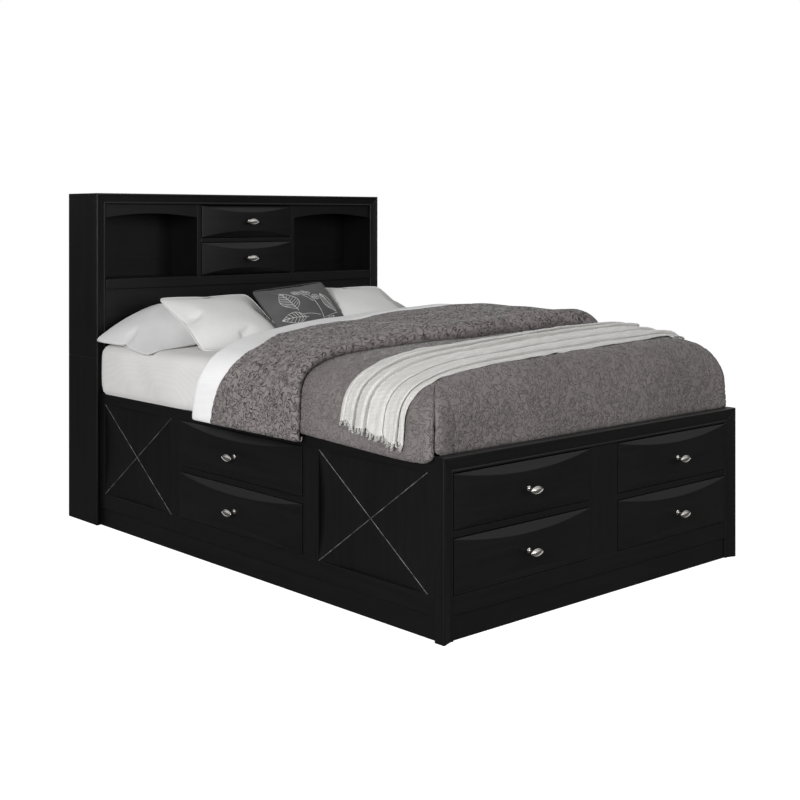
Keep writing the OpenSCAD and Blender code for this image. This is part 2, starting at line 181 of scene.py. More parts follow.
def woven(name, dark, light, weave=900.0, rough=0.85, sheen=0.25, fold=18.0, depth=0.0005, rot=0.0):
    """Plain woven cloth: two crossed sets of threads, slubs and soft colour drift."""
    m = Mat(name)
    vec = m.mapping((1, 1, 1), rot=(0.21, 0.17, rot))
    w = []
    for ax in ("X", "Y", "Z"):
        n = m.node("ShaderNodeTexWave", wave_type="BANDS", bands_direction=ax, wave_profile="SIN")
        n.inputs["Scale"].default_value = weave / 20.0
        n.inputs["Distortion"].default_value = 0.6
        n.inputs["Detail"].default_value = 1.0
        n.inputs["Detail Scale"].default_value = 2.0
        m.link(vec, n.inputs["Vector"])
        w.append(n.outputs["Fac"])
    thread = m.math("MULTIPLY", m.math("MAXIMUM", w[0], w[1]), m.math("MULTIPLY_ADD", w[2], 0.5, 0.5))
    slub = m.noise(240.0, 3, 0.6)
    drift = m.noise(fold * 0.5, 3, 0.5)
    mix = m.math("MULTIPLY_ADD", drift, 0.5, m.math("MULTIPLY_ADD", slub, 0.25, m.math("MULTIPLY", thread, 0.25)))
    col = m.ramp(mix, [(0.3, dark), (0.68, light)])
    crumple = m.noise(fold, 5, 0.6, dist=0.4)
    n1 = m.bump(crumple, 0.004, 0.25)
    n2 = m.bump(m.math("MULTIPLY_ADD", slub, 0.5, thread), depth, 0.6, n1)
    return m.set(Base_Color=col, Roughness=rough, Normal=n2, Sheen_Weight=sheen, Sheen_Roughness=0.5,
                 Specular_IOR_Level=0.25)


BLACK = [painted(i) for i in range(3)]
PINE = [plain_wood(i) for i in range(3)]
def arris_highlight_material():
    """Lighter grey noise along the raised arris: a painted highlight in the colour, standing in for the light the arris
    catches.
    """
    m = Mat("arris_painted_highlight")
    n = m.noise(34.0, 4, 0.6)
    col = m.ramp(n, [(0.38, (0.02, 0.02, 0.02)), (0.62, (0.16, 0.16, 0.155))])
    return m.set(Base_Color=col, Roughness=m.rng(n, 0.3, 0.45), Specular_IOR_Level=0.5,
                 Normal=m.bump(n, 0.0002, 0.4))


# painted highlight: the thin arris strips get a lighter grey colour in place of the light they catch
ARRIS_HIGHLIGHT = arris_highlight_material()
NICKEL = metal("satin_nickel", (0.47, 0.455, 0.43), 0.27, 2)
ZINC = metal("zinc_plate", (0.55, 0.56, 0.58), 0.34, 1)


# ------------------------------------------------------------------ mesh helpers
def new_object(name, bm, smooth=None, recalc=True):
    if recalc:
        bmesh.ops.recalc_face_normals(bm, faces=bm.faces[:])
    me = bpy.data.meshes.new(name)
    bm.to_mesh(me)
    bm.free()
    if smooth is not None:
        me.polygons.foreach_set("use_smooth", [True] * len(me.polygons))
        me.set_sharp_from_angle(angle=math.radians(smooth))
    ob = bpy.data.objects.new(name, me)
    COL.objects.link(ob)
    return ob


def apply_mods(ob):
    """Bakes the object's modifiers into its mesh."""
    dg = bpy.context.evaluated_depsgraph_get()
    dg.update()
    me = bpy.data.meshes.new_from_object(ob.evaluated_get(dg), preserve_all_data_layers=True, depsgraph=dg)
    ob.modifiers.clear()
    old = ob.data
    ob.data = me
    bpy.data.meshes.remove(old)
    return ob


def weighted(ob, angle=40):
    ob.data.polygons.foreach_set("use_smooth", [True] * len(ob.data.polygons))
    ob.data.set_sharp_from_angle(angle=math.radians(angle))
    w = ob.modifiers.new("w", "WEIGHTED_NORMAL")
    w.weight = 100
    w.keep_sharp = True
    return apply_mods(ob)


def islands(bm):
    seen, out = set(), []
    for v in bm.verts:
        if v.index in seen:
            continue
        stack, isl = [v], []
        seen.add(v.index)
        while stack:
            a = stack.pop()
            isl.append(a)
            for e in a.link_edges:
                o = e.other_vert(a)
                if o.index not in seen:
                    seen.add(o.index)
                    stack.append(o)
        out.append(isl)
    return out


def cad_bm(node):
    bm = bmesh.new()
    bm.from_mesh(NODES[node].data)
    bmesh.ops.remove_doubles(bm, verts=bm.verts[:], dist=2e-5)
    bmesh.ops.dissolve_limit(bm, angle_limit=math.radians(0.4), verts=bm.verts[:], edges=bm.edges[:])
    bm.verts.index_update()
    return bm


def bevel_sharp(bm, width, seg=2, angle=25):
    es = [e for e in bm.edges if len(e.link_faces) == 2 and e.calc_face_angle(0) > math.radians(angle)]
    bmesh.ops.bevel(bm, geom=es, offset=width, offset_type="OFFSET", segments=seg, profile=0.5,
                    affect="EDGES", clamp_overlap=True)


def island_boxes(bm):
    out = []
    for isl in islands(bm):
        co = np.array([v.co for v in isl])
        out.append((co.min(0), co.max(0), isl))
    return out


def grain_slots(ob, mats):
    """Gives every board of a piece the material whose grain runs along the board."""
    ob.data.materials.clear()
    for m in mats:
        ob.data.materials.append(m)
    bm = bmesh.new()
    bm.from_mesh(ob.data)
    bm.verts.index_update()
    slot = {}
    for lo, hi, isl in island_boxes(bm):
        ax = int(np.argmax(hi - lo))
        for v in isl:
            slot[v.index] = ax
    idx = [slot[f.verts[0].index] for f in bm.faces]
    bm.free()
    ob.data.polygons.foreach_set("material_index", idx)
    ob.data.update()


def carry(node, name, mats, body, bevel=0.0012, seg=2, keep=None):
    """A CAD node's boards with eased edges and their own grain."""
    bm = cad_bm(node)
    if keep is not None:
        gone = [v for lo, hi, isl in island_boxes(bm) if not keep(lo, hi) for v in isl]
        bmesh.ops.delete(bm, geom=gone, context="VERTS")
    bevel_sharp(bm, bevel, seg)
    ob = new_object(name, bm)
    weighted(ob)
    grain_slots(ob, mats if isinstance(mats, list) else [mats] * 3)
    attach(ob, body)
    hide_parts(node)
    return ob


# ------------------------------------------------------------------ the frame
for n in ("headboard_side_left", "headboard_side_right", "hutch_top", "hutch_shelf", "hutch_partitions",
          "hutch_back_panel", "headboard_apron", "headboard_lower_panel", "left_face_frame",
          "right_face_frame", "side_plinths", "footboard_face_frame", "footboard_plinth"):
    carry(n, n + "_boards", BLACK, BED, 0.0014, 2)
for n in ("headboard_moulding", "footboard_moulding"):
    carry(n, n + "_profile", BLACK, BED, 0.0009, 2)
for n in ("left_drawer_case", "right_drawer_case", "footboard_case", "slats", "centre_beam"):
    carry(n, n + "_boards", PINE, BED, 0.0016, 2)
carry("drawer_runners", "slide_channels", ZINC, BED, 0.0003, 1)
carry("rail_brackets", "angle_irons", ZINC, BED, 0.0005, 2)


def arched_valances():
    """Valance boards with a smooth arch along the lower edge."""
    bm0 = cad_bm("hutch_valances")
    boxes = [(a, b) for a, b, _ in island_boxes(bm0)]
    bm0.free()
    bm = bmesh.new()
    for lo, hi in boxes:
        s = 1 if lo[0] > 0 else -1
        xi, xo = (lo[0], 0.784) if s > 0 else (-0.784, hi[0])
        c, half, rise = (xi + xo) / 2, (xo - xi) / 2, 0.020
        r = (half ** 2 + rise ** 2) / (2 * rise)
        n = 48
        line = [(xi + (xo - xi) * i / n) for i in range(n + 1)]
        pts = [(x, lo[2] + rise - r + math.sqrt(r * r - (x - c) ** 2)) for x in line]
        if s > 0:
            pts = pts + [(hi[0], lo[2]), (hi[0], hi[2]), (lo[0], hi[2])]
        else:
            pts = [(lo[0], lo[2])] + pts + [(hi[0], hi[2]), (lo[0], hi[2])]
        a = [bm.verts.new((x, lo[1], z)) for x, z in pts]
        b = [bm.verts.new((x, hi[1], z)) for x, z in pts]
        bm.faces.new(a)
        bm.faces.new(b[::-1])
        for i in range(len(pts)):
            j = (i + 1) % len(pts)
            bm.faces.new((a[i], b[i], b[j], a[j]))
    bmesh.ops.recalc_face_normals(bm, faces=bm.faces[:])
    bevel_sharp(bm, 0.0012, 2, 30)
    ob = new_object("arched_valances", bm)
    weighted(ob)
    grain_slots(ob, BLACK)
    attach(ob, BED)
    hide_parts("hutch_valances")


arched_valances()


def cross_panels():
    """Four panels, each with four scooped triangles that meet in a raised X with a fine arris."""
    bm0 = cad_bm("cross_panels")
    boxes = [(a, b) for a, b, _ in island_boxes(bm0)]
    bm0.free()
    scoop = 0.014
    bm = bmesh.new()
    us = [1 - x for x in (0, .004, .012, .03, .06, .1, .16, .24, .34, .46, .6, .78)]
    us = [-u for u in us] + [0] + us[::-1]
    ts = [0.02, 0.06, 0.12, 0.2, 0.3, 0.4, 0.5, 0.6, 0.7, 0.8, 0.9, 1.0]
    for lo, hi in boxes:
        out = 1 if lo[0] > 0 else -1
        xf = hi[0] if out > 0 else lo[0]
        xb = lo[0] if out > 0 else hi[0]
        yc, zc = (lo[1] + hi[1]) / 2, (lo[2] + hi[2]) / 2
        W, H = (hi[1] - lo[1]) / 2, (hi[2] - lo[2]) / 2
        centre = bm.verts.new((xf, yc, zc))
        sides = [lambda t, u: (t * u * W, -t * H), lambda t, u: (t * W, t * u * H),
                 lambda t, u: (-t * u * W, t * H), lambda t, u: (-t * W, -t * u * H)]
        rings = {}
        for k, f in enumerate(sides):
            for i, t in enumerate(ts):
                row = []
                for j, u in enumerate(us):
                    if j == 0 and k > 0:
                        row.append(rings[(k - 1, i)][-1])
                        continue
                    if j == len(us) - 1 and k == 3:
                        row.append(rings[(0, i)][0])
                        continue
                    a, b = f(t, u)
                    d = scoop * t * (1 - u * u)
                    row.append(bm.verts.new((xf - out * d, yc + a, zc + b)))
                rings[(k, i)] = row
            for i in range(len(ts) - 1):
                for j in range(len(us) - 1):
                    bm.faces.new((rings[(k, i)][j], rings[(k, i)][j + 1], rings[(k, i + 1)][j + 1], rings[(k, i + 1)][j]))
        for k in range(4):
            r0 = rings[(k, 0)]
            for j in range(len(us) - 1):
                bm.faces.new((centre, r0[j], r0[j + 1]))
        rim = []
        for k in range(4):
            rim += rings[(k, len(ts) - 1)][:-1]
        back = [bm.verts.new((xb, v.co.y, v.co.z)) for v in rim]
        n = len(rim)
        for i in range(n):
            bm.faces.new((rim[i], rim[(i + 1) % n], back[(i + 1) % n], back[i]))
        bm.faces.new(back[::-1])
        # fine raised arris along both diagonals
        for s in (1, -1):
            d = Vector((0, W, s * H))
            length = d.length
            d.normalize()
            side = Vector((0, -d.z, d.y))
            prev = None
            segs = 40
            for i in range(segs + 1):
                q = -length + 2 * length * i / segs
                q = max(-length + 0.004, min(length - 0.004, q))
                c = Vector((xf, yc, zc)) + d * q
                ring = []
                for w, h in ((-0.0017, -0.0006), (-0.0010, 0.0004), (0, 0.0009), (0.0010, 0.0004), (0.0017, -0.0006)):
                    ring.append(bm.verts.new(c + side * w + Vector((out * h, 0, 0))))
                if prev:
                    for a in range(5):
                        b = (a + 1) % 5
                        bm.faces.new((prev[a], prev[b], ring[b], ring[a]))
                else:
                    bm.faces.new(ring)
                prev = ring
            bm.faces.new(prev[::-1])
    ob = new_object("scooped_cross_panels", bm, 35)
    ob.data.materials.append(BLACK[2])
    # slot 1 is the painted highlight, given below to the thin arris strips
    ob.data.materials.append(ARRIS_HIGHLIGHT)
    if ob.data.polygons[0].area >= 0:
        flags = []
        parts = bmesh.new()
        parts.from_mesh(ob.data)
        parts.verts.index_update()
        thin = set()
        for lo, hi, isl in island_boxes(parts):
            if len(isl) < 300:
                thin.update(v.index for v in isl)
        flags = [1 if f.verts[0].index in thin else 0 for f in parts.faces]
        parts.free()
        ob.data.polygons.foreach_set("material_index", flags)
    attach(ob, BED)
    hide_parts("cross_panels")


cross_panels()


# ------------------------------------------------------------------ drawers
def fillet(pts, radii, n=3):
    out = []
    m = len(pts)
    for i in range(m):
        p = np.array(pts[i], float)
        a, b = np.array(pts[i - 1], float) - p, np.array(pts[(i + 1) % m], float) - p
        la, lb = np.linalg.norm(a), np.linalg.norm(b)
        if la < 1e-7 or lb < 1e-7:
            out += [tuple(p)] * (n + 1)
            continue
        r = min(radii[i], 0.4 * la, 0.4 * lb)
        pa, pb = p + a / la * r, p + b / lb * r
        for k in range(n + 1):
            t = k / n
            q = (1 - t) ** 2 * pa + 2 * t * (1 - t) * p + t * t * pb
            out.append(tuple(q))
    return out


T0, BOW, BEV = 0.020, 0.016, 0.031


def front_bm(w, h):
    """Bowed drawer front: u across, v outwards, z up; crescent bevels fade out at the corners."""
    rise = BOW - 0.0006
    r = (w * w / 4 + rise * rise) / (2 * rise)
    n = 72
    us = [(-0.5 + i / n) * w for i in range(n + 1)]
    ease = [(0.0, 0.0013), (0.0004, 0.0006), (0.0013, 0.0)]
    cols = [(-w / 2 + a, i) for a, i in ease] + [(u, 0.0) for u in us[1:-1]] + [(w / 2 - a, i) for a, i in ease[::-1]]
    rows = []
    for u, inset in cols:
        d = max(0.0006, BOW - (r - math.sqrt(max(r * r - u * u, 0))))
        b = BEV * d / BOW
        pts = [(0, 0), (T0, 0), (T0 + d, b), (T0 + d, h - b), (T0, h), (0, h)]
        prof = fillet(pts, [0.0005, 0.0013, 0.002, 0.002, 0.0013, 0.0005], 3)
        T = T0 + d
        rows.append([(u, T / 2 + (v - T / 2) * (T - 2 * inset) / T, h / 2 + (z - h / 2) * (h - 2 * inset) / h) for v, z in prof])
    return rows


def place(face, lo, hi):
    """Maps (u, v, z) of a drawer onto the row frame."""
    cx, cy = (lo[0] + hi[0]) / 2, (lo[1] + hi[1]) / 2
    if face == "y":
        return lambda p: (cx + p[0], hi[1] - p[1], lo[2] + p[2])
    if face == "-x":
        return lambda p: (hi[0] - p[1], cy - p[0], lo[2] + p[2])
    return lambda p: (lo[0] + p[1], cy + p[0], lo[2] + p[2])


def build_front(d, body, face):
    node = d + "_front"
    lo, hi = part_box(node)
    f = place(face, lo, hi)
    w = (hi[1] - lo[1]) if "x" in face else (hi[0] - lo[0])
    rows = front_bm(w, hi[2] - lo[2])
    bm = bmesh.new()
    grid = [[bm.verts.new(f(p)) for p in row] for row in rows]
    m = len(grid[0])
    for i in range(len(grid) - 1):
        for j in range(m):
            k = (j + 1) % m
            bm.faces.new((grid[i][j], grid[i][k], grid[i + 1][k], grid[i + 1][j]))
    bm.faces.new(grid[0])
    bm.faces.new(grid[-1][::-1])
    ob = new_object(d + "_bowed_front", bm, 60)
    w_ = ob.modifiers.new("w", "WEIGHTED_NORMAL")
    w_.weight = 60
    w_.keep_sharp = True
    apply_mods(ob)
    ob.data.materials.append(BLACK[1 if "x" in face else 0])
    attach(ob, body)
    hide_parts(node)
    return lo, hi, f, (hi[2] - lo[2]) / 2


def build_knob(d, body, f, zc):
    """Pointed-oval knob with a raised rim and domed face, on a turned stem with a petalled rose."""
    bm = bmesh.new()
    face = T0 + BOW
    n = 72
    hr = (0.032 ** 2 + 0.0135 ** 2) / (2 * 0.0135)
    outline = []
    for i in range(n):
        a = 2 * math.pi * i / n
        x = 0.032 * math.cos(a)
        y = math.copysign(max(math.sqrt(max(hr * hr - x * x, 0)) - (hr - 0.0135), 0), math.sin(a))
        k = 1 - 0.035 * abs(math.cos(a)) ** 24
        outline.append((x * k, y))
    rings = [(0.0022, 0.0), (0.0006, 0.0008), (0.0, 0.0022), (0.0, 0.0055), (0.0006, 0.0068), (0.0017, 0.0074),
             (0.0028, 0.0068), (0.0036, 0.0060), (0.0046, 0.0064)]
    rows = []
    for inset, v in rings:
        rows.append([(x * (1 - inset / 0.032), y * (1 - inset / 0.0135), v) for x, y in outline])
    s0 = 1 - 0.0046 / 0.0135
    sx = 1 - 0.0046 / 0.032
    for k in (0.82, 0.62, 0.4, 0.2):
        rows.append([(x * sx * k, y * s0 * k, 0.0064 + 0.0044 * (1 - k * k)) for x, y in outline])
    base = face + 0.031
    grid = [[bm.verts.new(f((x, base + v, zc + y))) for x, y, v in row] for row in rows]
    for i in range(len(grid) - 1):
        for j in range(n):
            k = (j + 1) % n
            bm.faces.new((grid[i][j], grid[i][k], grid[i + 1][k], grid[i + 1][j]))
    bm.faces.new(grid[0])
    tip = bm.verts.new(f((0, base + 0.0108, zc)))
    for j in range(n):
        bm.faces.new((grid[-1][j], grid[-1][(j + 1) % n], tip))
    # stem and rose
    prof = [(0.0088, 0.0), (0.0090, 0.0010), (0.0082, 0.0019), (0.0060, 0.0026), (0.0052, 0.0034), (0.0055, 0.0042),
            (0.0046, 0.0052), (0.0038, 0.0080), (0.0034, 0.0150), (0.0036, 0.0220), (0.0045, 0.0275), (0.0062, 0.0308), (0.0062, 0.0316)]
    m = 48
    prev = None
    for i, (r, v) in enumerate(prof):
        ring = []
        for j in range(m):
            a = 2 * math.pi * j / m
            rr = r + (0.0007 * math.cos(8 * a) if i < 4 else 0.0)
            ring.append(bm.verts.new(f((rr * math.cos(a), face + v, zc + rr * math.sin(a)))))
        if prev:
            for j in range(m):
                k = (j + 1) % m
                bm.faces.new((prev[j], prev[k], ring[k], ring[j]))
        else:
            bm.faces.new(ring)
        prev = ring
    bm.faces.new(prev[::-1])
    ob = new_object(d + "_knob", bm, 50)
    ob.data.materials.append(NICKEL)
    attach(ob, body)
    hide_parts(d + "_hardware")


DRAWERS = ["head_upper", "head_lower", "left_upper", "left_lower", "right_upper", "right_lower",
           "foot_left_upper", "foot_left_lower", "foot_right_upper", "foot_right_lower"]
for d in DRAWERS:
    body = d + "_drawer"
    face = "-x" if d.startswith("left") else "x" if d.startswith("right") else "y"
    lo, hi, f, zc = build_front(d, body, face)
    build_knob(d, body, f, zc)
    carry(d + "_box", d + "_box_boards", PINE, body, 0.0012, 2)
    long_ax = 0 if "x" in face else 1
    bars = carry(d + "_hardware", d + "_slides", ZINC, body, 0.0012, 2,
                 keep=lambda a, b, k=long_ax: (b - a)[2] > 0.030 and (b - a)[2] < 0.036 and (b - a)[k] > 0.1)

# ------------------------------------------------------------------ fabrics
def quilt_cloth(name, dark, depth, lift=1.0, wide=0.030):
    """Crinkled quilted cotton with soft colour drift; broken dark strokes along the crinkle lines are painted shade for
    the quilting creases.
    """
    m = Mat(name)
    nt = m.node("ShaderNodeTexNoise")
    nt.inputs["Scale"].default_value = 40.0
    nt.inputs["Detail"].default_value = 1.0
    nt.inputs["Roughness"].default_value = 0.5
    nt.inputs["Distortion"].default_value = 1.1
    m.link(m.co, nt.inputs["Vector"])
    ridge = m.math("ABSOLUTE", m.math("SUBTRACT", nt.outputs["Fac"], 0.5))
    crinkle = m.rng(ridge, 0.0, 1.0, 0.0, 0.06)
    breaks = m.rng(m.noise(34.0, 1, 0.5), 0.0, 1.0, 0.46, 0.54)
    crease_shade = m.math("MULTIPLY", m.rng(ridge, 1.0, 0.0, 0.008, wide), breaks)
    fine = m.noise(460.0, 3, 0.6)
    drift = m.noise(2.6, 4, 0.55)
    mix = m.math("MULTIPLY_ADD", drift, 0.6, m.math("MULTIPLY", fine, 0.4))
    col = m.ramp(mix, [(0.32, tuple(c * lift for c in (0.138, 0.122, 0.120))), (0.64, tuple(c * lift for c in (0.190, 0.171, 0.168)))])
    # painted shade: base colour pulled towards near-black along the crease strokes, scaled by dark
    crease_shade_mix = m.node("ShaderNodeMixRGB")
    m.link(m.math("MULTIPLY", crease_shade, dark), crease_shade_mix.inputs[0])
    m.link(col, crease_shade_mix.inputs[1])
    crease_shade_mix.inputs[2].default_value = (0.022, 0.019, 0.019, 1)
    n1 = m.bump(crinkle, depth, 1.0)
    n3 = m.bump(fine, 0.0004, 0.5, n1)
    return m.set(Base_Color=crease_shade_mix.outputs[0], Roughness=0.68, Normal=n3, Sheen_Weight=0.12, Sheen_Roughness=0.4,
                 Specular_IOR_Level=0.3)


# the turned-back copy has a 1.3 times lighter base and wider, full-strength painted crease shade
QUILT = quilt_cloth("grey_quilt", 0.30, 0.004)
QUILT_BACK = quilt_cloth("grey_quilt_turned", 1.0, 0.009, 1.30, 0.046)
PERCALE = woven("white_percale", (0.84, 0.84, 0.84), (0.92, 0.92, 0.92), 1400, 0.8, 0.15, 14.0, 0.0002)
SHEET = woven("fitted_sheet", (0.64, 0.63, 0.62), (0.73, 0.72, 0.71), 1400, 0.82, 0.15, 9.0, 0.0002)
CASE = woven("pillow_case", (0.63, 0.63, 0.63), (0.72, 0.72, 0.72), 1300, 0.8, 0.18, 11.0, 0.0002)
SHAM = woven("silver_sateen", (0.67, 0.67, 0.66), (0.76, 0.76, 0.75), 1500, 0.62, 0.2, 16.0, 0.0002)
THROW = woven("knitted_throw", (0.52, 0.51, 0.49), (0.66, 0.65, 0.63), 520, 0.9, 0.35, 26.0, 0.0009)
LINEN = woven("charcoal_linen", (0.058, 0.057, 0.058), (0.105, 0.103, 0.104), 800, 0.85, 0.08, 20.0, 0.0005)
THREAD = woven("white_thread", (0.42, 0.42, 0.41), (0.60, 0.60, 0.59), 1500, 0.7, 0.1, 40.0, 0.0002)

# ------------------------------------------------------------------ the bed's made surface
XO, DB, ZV = 0.838, 0.112, 0.705
XT, YB, DF = XO - DB, 0.142, 0.086
A1, A2 = 0.735, 0.920
PH0 = math.radians(12)
YK = np.array([-0.05, 0.142, 0.25, 0.35, 0.50, 0.62, 0.75, 1.00, 1.25, 1.45, 1.60])
ZK = np.array([0.818, 0.856, 0.874, 0.885, 0.892, 0.880, 0.864, 0.866, 0.868, 0.868, 0.868])


def curve(x, xk, yk):
    xk, yk = np.asarray(xk, float), np.asarray(yk, float)
    x = np.clip(np.asarray(x, float), xk[0], xk[-1])
    m = np.gradient(yk, xk)
    i = np.clip(np.searchsorted(xk, x) - 1, 0, len(xk) - 2)
    h = xk[i + 1] - xk[i]
    t = (x - xk[i]) / h
    return ((2 * t ** 3 - 3 * t ** 2 + 1) * yk[i] + (t ** 3 - 2 * t ** 2 + t) * h * m[i]
            + (-2 * t ** 3 + 3 * t ** 2) * yk[i + 1] + (t ** 3 - t ** 2) * h * m[i + 1])


def height(x, Y):
    u = x / XT
    return curve(Y, YK, ZK) + 0.014 * u - np.where(u < 0, 0.020, 0.0) * np.abs(u) ** 3 - 0.018 * np.abs(u) ** 10


def bend(m, zs, D):
    ph = PH0 + (math.pi / 2 - PH0) * np.clip(m, 0, 1)
    o = D * (np.sin(ph) - math.sin(PH0)) / (1 - math.sin(PH0))
    return o, (zs - ZV) * (math.cos(PH0) - np.cos(ph)) / math.cos(PH0)


def over_raw(a, Y):
    a, Y = np.broadcast_arrays(np.asarray(a, float), np.asarray(Y, float))
    s, m = np.sign(a), np.abs(a)
    x = s * XT * np.minimum(m / A1, 1)
    zs = height(x, Y)
    o, dz = bend((m - A1) / (A2 - A1), zs, DB)
    return np.stack([x + s * o, Y, zs - dz - np.maximum(m - A2, 0)], -1)


def over(a, Y, off=0.0):
    """A point off above the made bed: a runs across it and down its sides, Y from the foot."""
    e = 1e-4
    a, Y = np.asarray(a, float), np.asarray(Y, float)
    n = np.cross(over_raw(a + e, Y) - over_raw(a - e, Y), over_raw(a, Y + e) - over_raw(a, Y - e))
    n /= np.linalg.norm(n, axis=-1, keepdims=True) + 1e-12
    return over_raw(a, Y) + n * np.asarray(off)[..., None]


def hashed(i, j, k):
    v = np.sin(i * 127.1 + j * 311.7 + k * 74.7) * 43758.5453
    return v - np.floor(v)


def vnoise(x, y, k=0):
    """Smooth value noise in 0..1."""
    i, j = np.floor(x), np.floor(y)
    fx, fy = x - i, y - j
    fx, fy = fx * fx * (3 - 2 * fx), fy * fy * (3 - 2 * fy)
    a, b = hashed(i, j, k), hashed(i + 1, j, k)
    c, d = hashed(i, j + 1, k), hashed(i + 1, j + 1, k)
    return (a * (1 - fx) + b * fx) * (1 - fy) + (c * (1 - fx) + d * fx) * fy


def puffs(a, b, size=0.025, seed=3):
    """Meander-stitched crinkle: 1 on a puff's crown, 0 in the stitched line."""
    wa = a + 0.010 * (vnoise(a / 0.03, b / 0.03, 11) - 0.5)
    wb = b + 0.010 * (vnoise(a / 0.03, b / 0.03, 12) - 0.5)
    r, q = 0.83 * wa + 0.56 * wb, -0.56 * wa + 0.83 * wb
    n = 0.66 * vnoise(wa / size, wb / size * 0.8, seed) + 0.34 * vnoise(r / size * 1.9, q / size * 1.5, seed + 1)
    e = np.clip(np.abs(2 * n - 1) / 0.22, 0, 1)
    return np.sqrt(1 - (1 - e) ** 2)


def vert_normals(V, F):
    """Area-weighted vertex normals; F is a list of quads or triangles."""
    n = np.zeros_like(V)
    q = np.array([f if len(f) == 4 else (f[0], f[1], f[2], f[2]) for f in F])
    fn = np.cross(V[q[:, 2]] - V[q[:, 0]], V[q[:, 3]] - V[q[:, 1]])
    tri = np.array([len(f) == 3 for f in F])
    if tri.any():
        fn[tri] = np.cross(V[q[tri, 1]] - V[q[tri, 0]], V[q[tri, 2]] - V[q[tri, 0]])
    for k in range(4):
        np.add.at(n, q[:, k], fn)
    return n / (np.linalg.norm(n, axis=1, keepdims=True) + 1e-12)


def shell(name, outer, inner, faces, mats, body, smooth=80):
    """Closed piece between two matching surfaces."""
    N = len(outer)
    count = {}
    for f in faces:
        for i in range(len(f)):
            e = (f[i], f[(i + 1) % len(f)])
            count[e] = count.get(e, 0) + 1
    F = list(faces) + [tuple(N + i for i in f[::-1]) for f in faces]
    F += [(b, a, a + N, b + N) for (a, b) in count if (b, a) not in count]
    V = np.vstack([outer, inner]).copy()
    V[:, 1] -= YM
    me = bpy.data.meshes.new(name)
    me.from_pydata(V.tolist(), [], F)
    me.update()
    bm = bmesh.new()
    bm.from_mesh(me)
    bmesh.ops.recalc_face_normals(bm, faces=bm.faces[:])
    bm.to_mesh(me)
    bm.free()
    me.polygons.foreach_set("use_smooth", [True] * len(me.polygons))
    me.set_sharp_from_angle(angle=math.radians(smooth))
    ob = bpy.data.objects.new(name, me)
    COL.objects.link(ob)
    ob.data.materials.append(mats)
    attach(ob, body)
    return ob


def grid_faces(n, m, base=0):
    return [(base + i * m + j, base + i * m + j + 1, base + (i + 1) * m + j + 1, base + (i + 1) * m + j)
            for i in range(n - 1) for j in range(m - 1)]


# ------------------------------------------------------------------ duvet
# the throw's head and foot outlines on the bed
TH_HEAD = ([-1.06, -0.984, -0.896, -0.84, -0.787, -0.683, -0.534, -0.337, 0.0, 0.3, 0.5, 0.80],
           [0.484, 0.474, 0.461, 0.453, 0.440, 0.442, 0.455, 0.463, 0.500, 0.556, 0.572, 0.545])
TH_FOOT = ([-1.06, -0.96, -0.90, -0.80, -0.50, 0.0, 0.4, 0.8],
           [0.162, 0.152, 0.148, 0.150, 0.150, 0.165, 0.175, 0.200])


